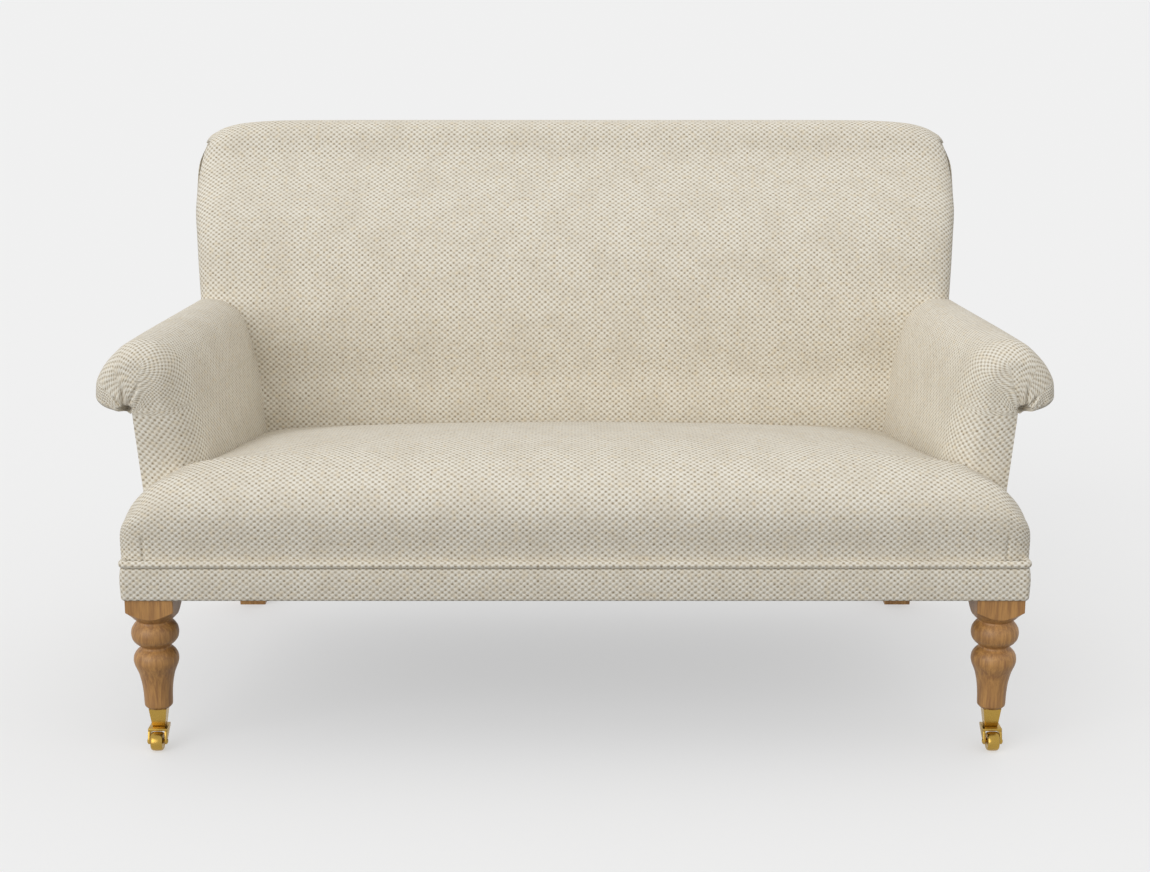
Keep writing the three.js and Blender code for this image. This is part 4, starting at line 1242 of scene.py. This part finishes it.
def legs():
    for side in ("right", "left"):
        grid = leg_grid(side)
        leg = skin("turned_leg_" + side, grid, grid[..., :2], OAK, closed=True, sharp=28)
        covered(leg, "front_leg_" + side)
        grid = cup_grid(side)
        cup = skin("castor_socket_" + side, grid, grid[..., :2], BRASS, closed=True, sharp=35)
        covered(cup, "castor_cup_" + side)


def castors():
    tread = [(-out, r) for out, r in WHEEL_SECTION[:-1]] + WHEEL_SECTION[::-1]
    half = [SHANK] + HEAD_SECTION
    axle = [(-out, r) for out, r in half[::-1]] + half
    for side in ("right", "left"):
        wheel_body, castor_body = "wheel_" + side, "castor_" + side
        grid = axle_grid(side, tread)
        flat = grid[..., :2]
        wheel = skin("wheel_tread_" + side, grid, flat, BRASS, closed=True, body=wheel_body, sharp=40)
        covered(wheel, "castor_wheel_" + side)
        covered(castor_fork(side), "castor_fork_" + side)
        grid = axle_grid(side, axle, AXLE_AROUND)
        flat = grid[..., :2]
        pin = skin("castor_pin_" + side, grid, flat, BRASS, closed=True, body=castor_body, sharp=50)
        covered(pin, "castor_axle_" + side)


def castor_fork(side):
    """Plate with a cheek on each side of the wheel, ending in a round boss at the axle."""
    x = leg_x(side)
    arc = [math.pi * (1 + part) for part in np.linspace(0, 1, BOSS_STEPS)]
    boss = [(WHEEL_Y + BOSS * math.cos(a), WHEEL_Z + BOSS * math.sin(a)) for a in arc]
    front, rear = (BRIDGE_FRONT, BRIDGE_FOOT), (BRIDGE_REAR, BRIDGE_FOOT)
    cheek = [front, *boss, rear]
    plate = [(BRIDGE_FRONT, FORK_TOP), front, rear, (BRIDGE_REAR, FORK_TOP)]
    shape = bmesh.new()
    prism(shape, cheek, x + FORK_INNER, x + FORK_OUTER)
    prism(shape, cheek, x - FORK_OUTER, x - FORK_INNER)
    prism(shape, plate, x - FORK_OUTER, x + FORK_OUTER)
    mesh = bpy.data.meshes.new("castor_yoke_" + side)
    shape.to_mesh(mesh)
    shape.free()
    piece = finished("castor_yoke_" + side, mesh, BRASS, "castor_" + side)
    bevel = piece.modifiers.new("worn_edges", "BEVEL")
    bevel.width = FORK_BEVEL
    bevel.segments = 2
    bevel.limit_method = "ANGLE"
    return piece


# Stage


def grey(tone):
    return tone, tone, tone, 1


def stage():
    reach = 400
    corners = [(-reach, -reach, 0), (reach, -reach, 0), (reach, reach, 0), (-reach, reach, 0)]
    floor = bpy.data.meshes.new("floor")
    floor.from_pydata(corners, [], [(0, 1, 2, 3)])
    plane = bpy.data.objects.new("floor", floor)
    bpy.context.scene.collection.objects.link(plane)
    material, _, shader = new_material("pale_floor")
    shader.inputs["Base Color"].default_value = grey(FLOOR_GREY)
    shader.inputs["Emission Color"].default_value = (1, 1, 1, 1)
    shader.inputs["Emission Strength"].default_value = FLOOR_GLOW
    shader.inputs["Roughness"].default_value = 1.0
    shader.inputs["Specular IOR Level"].default_value = 0.0
    plane.data.materials.append(material)
    plane.visible_diffuse = False

    world = bpy.data.worlds.new("studio")
    bpy.context.scene.world = world
    world.use_nodes = True
    tree = world.node_tree
    height = node(tree, "ShaderNodeSeparateXYZ", {0: node(tree, "ShaderNodeTexCoord").outputs["Generated"]})
    upper = stepped(tree, height.outputs["Z"], low=-0.03, high=0.03)
    sky = blend_colours(tree, upper, grey(ROOM_LOW), grey(ROOM_HIGH))
    tree.links.new(sky, tree.nodes["Background"].inputs["Color"])

    lamp = bpy.data.lights.new("key", "SUN")
    lamp.energy = LAMP_POWER
    lamp.angle = math.radians(LAMP_SPREAD)
    holder = bpy.data.objects.new("key", lamp)
    bpy.context.scene.collection.objects.link(holder)
    holder.rotation_euler = Vector(LAMP_AIM).to_track_quat("-Z", "Y").to_euler()


def camera():
    data = bpy.data.cameras.new("camera")
    data.lens = CAMERA_LENS
    data.sensor_width = 36.0
    data.sensor_fit = "HORIZONTAL"
    data.clip_end = 1000
    holder = bpy.data.objects.new("camera", data)
    bpy.context.scene.collection.objects.link(holder)
    holder.location = (0, FRONT - CAMERA_AWAY * MM, CAMERA_HEIGHT * MM)
    holder.rotation_euler = (math.radians(90 - CAMERA_TILT), 0, 0)
    bpy.context.scene.camera = holder
    bpy.context.scene.view_settings.view_transform = "Standard"


dress_frame()
soft_pieces()
arms()
legs()
castors()
stage()
camera()
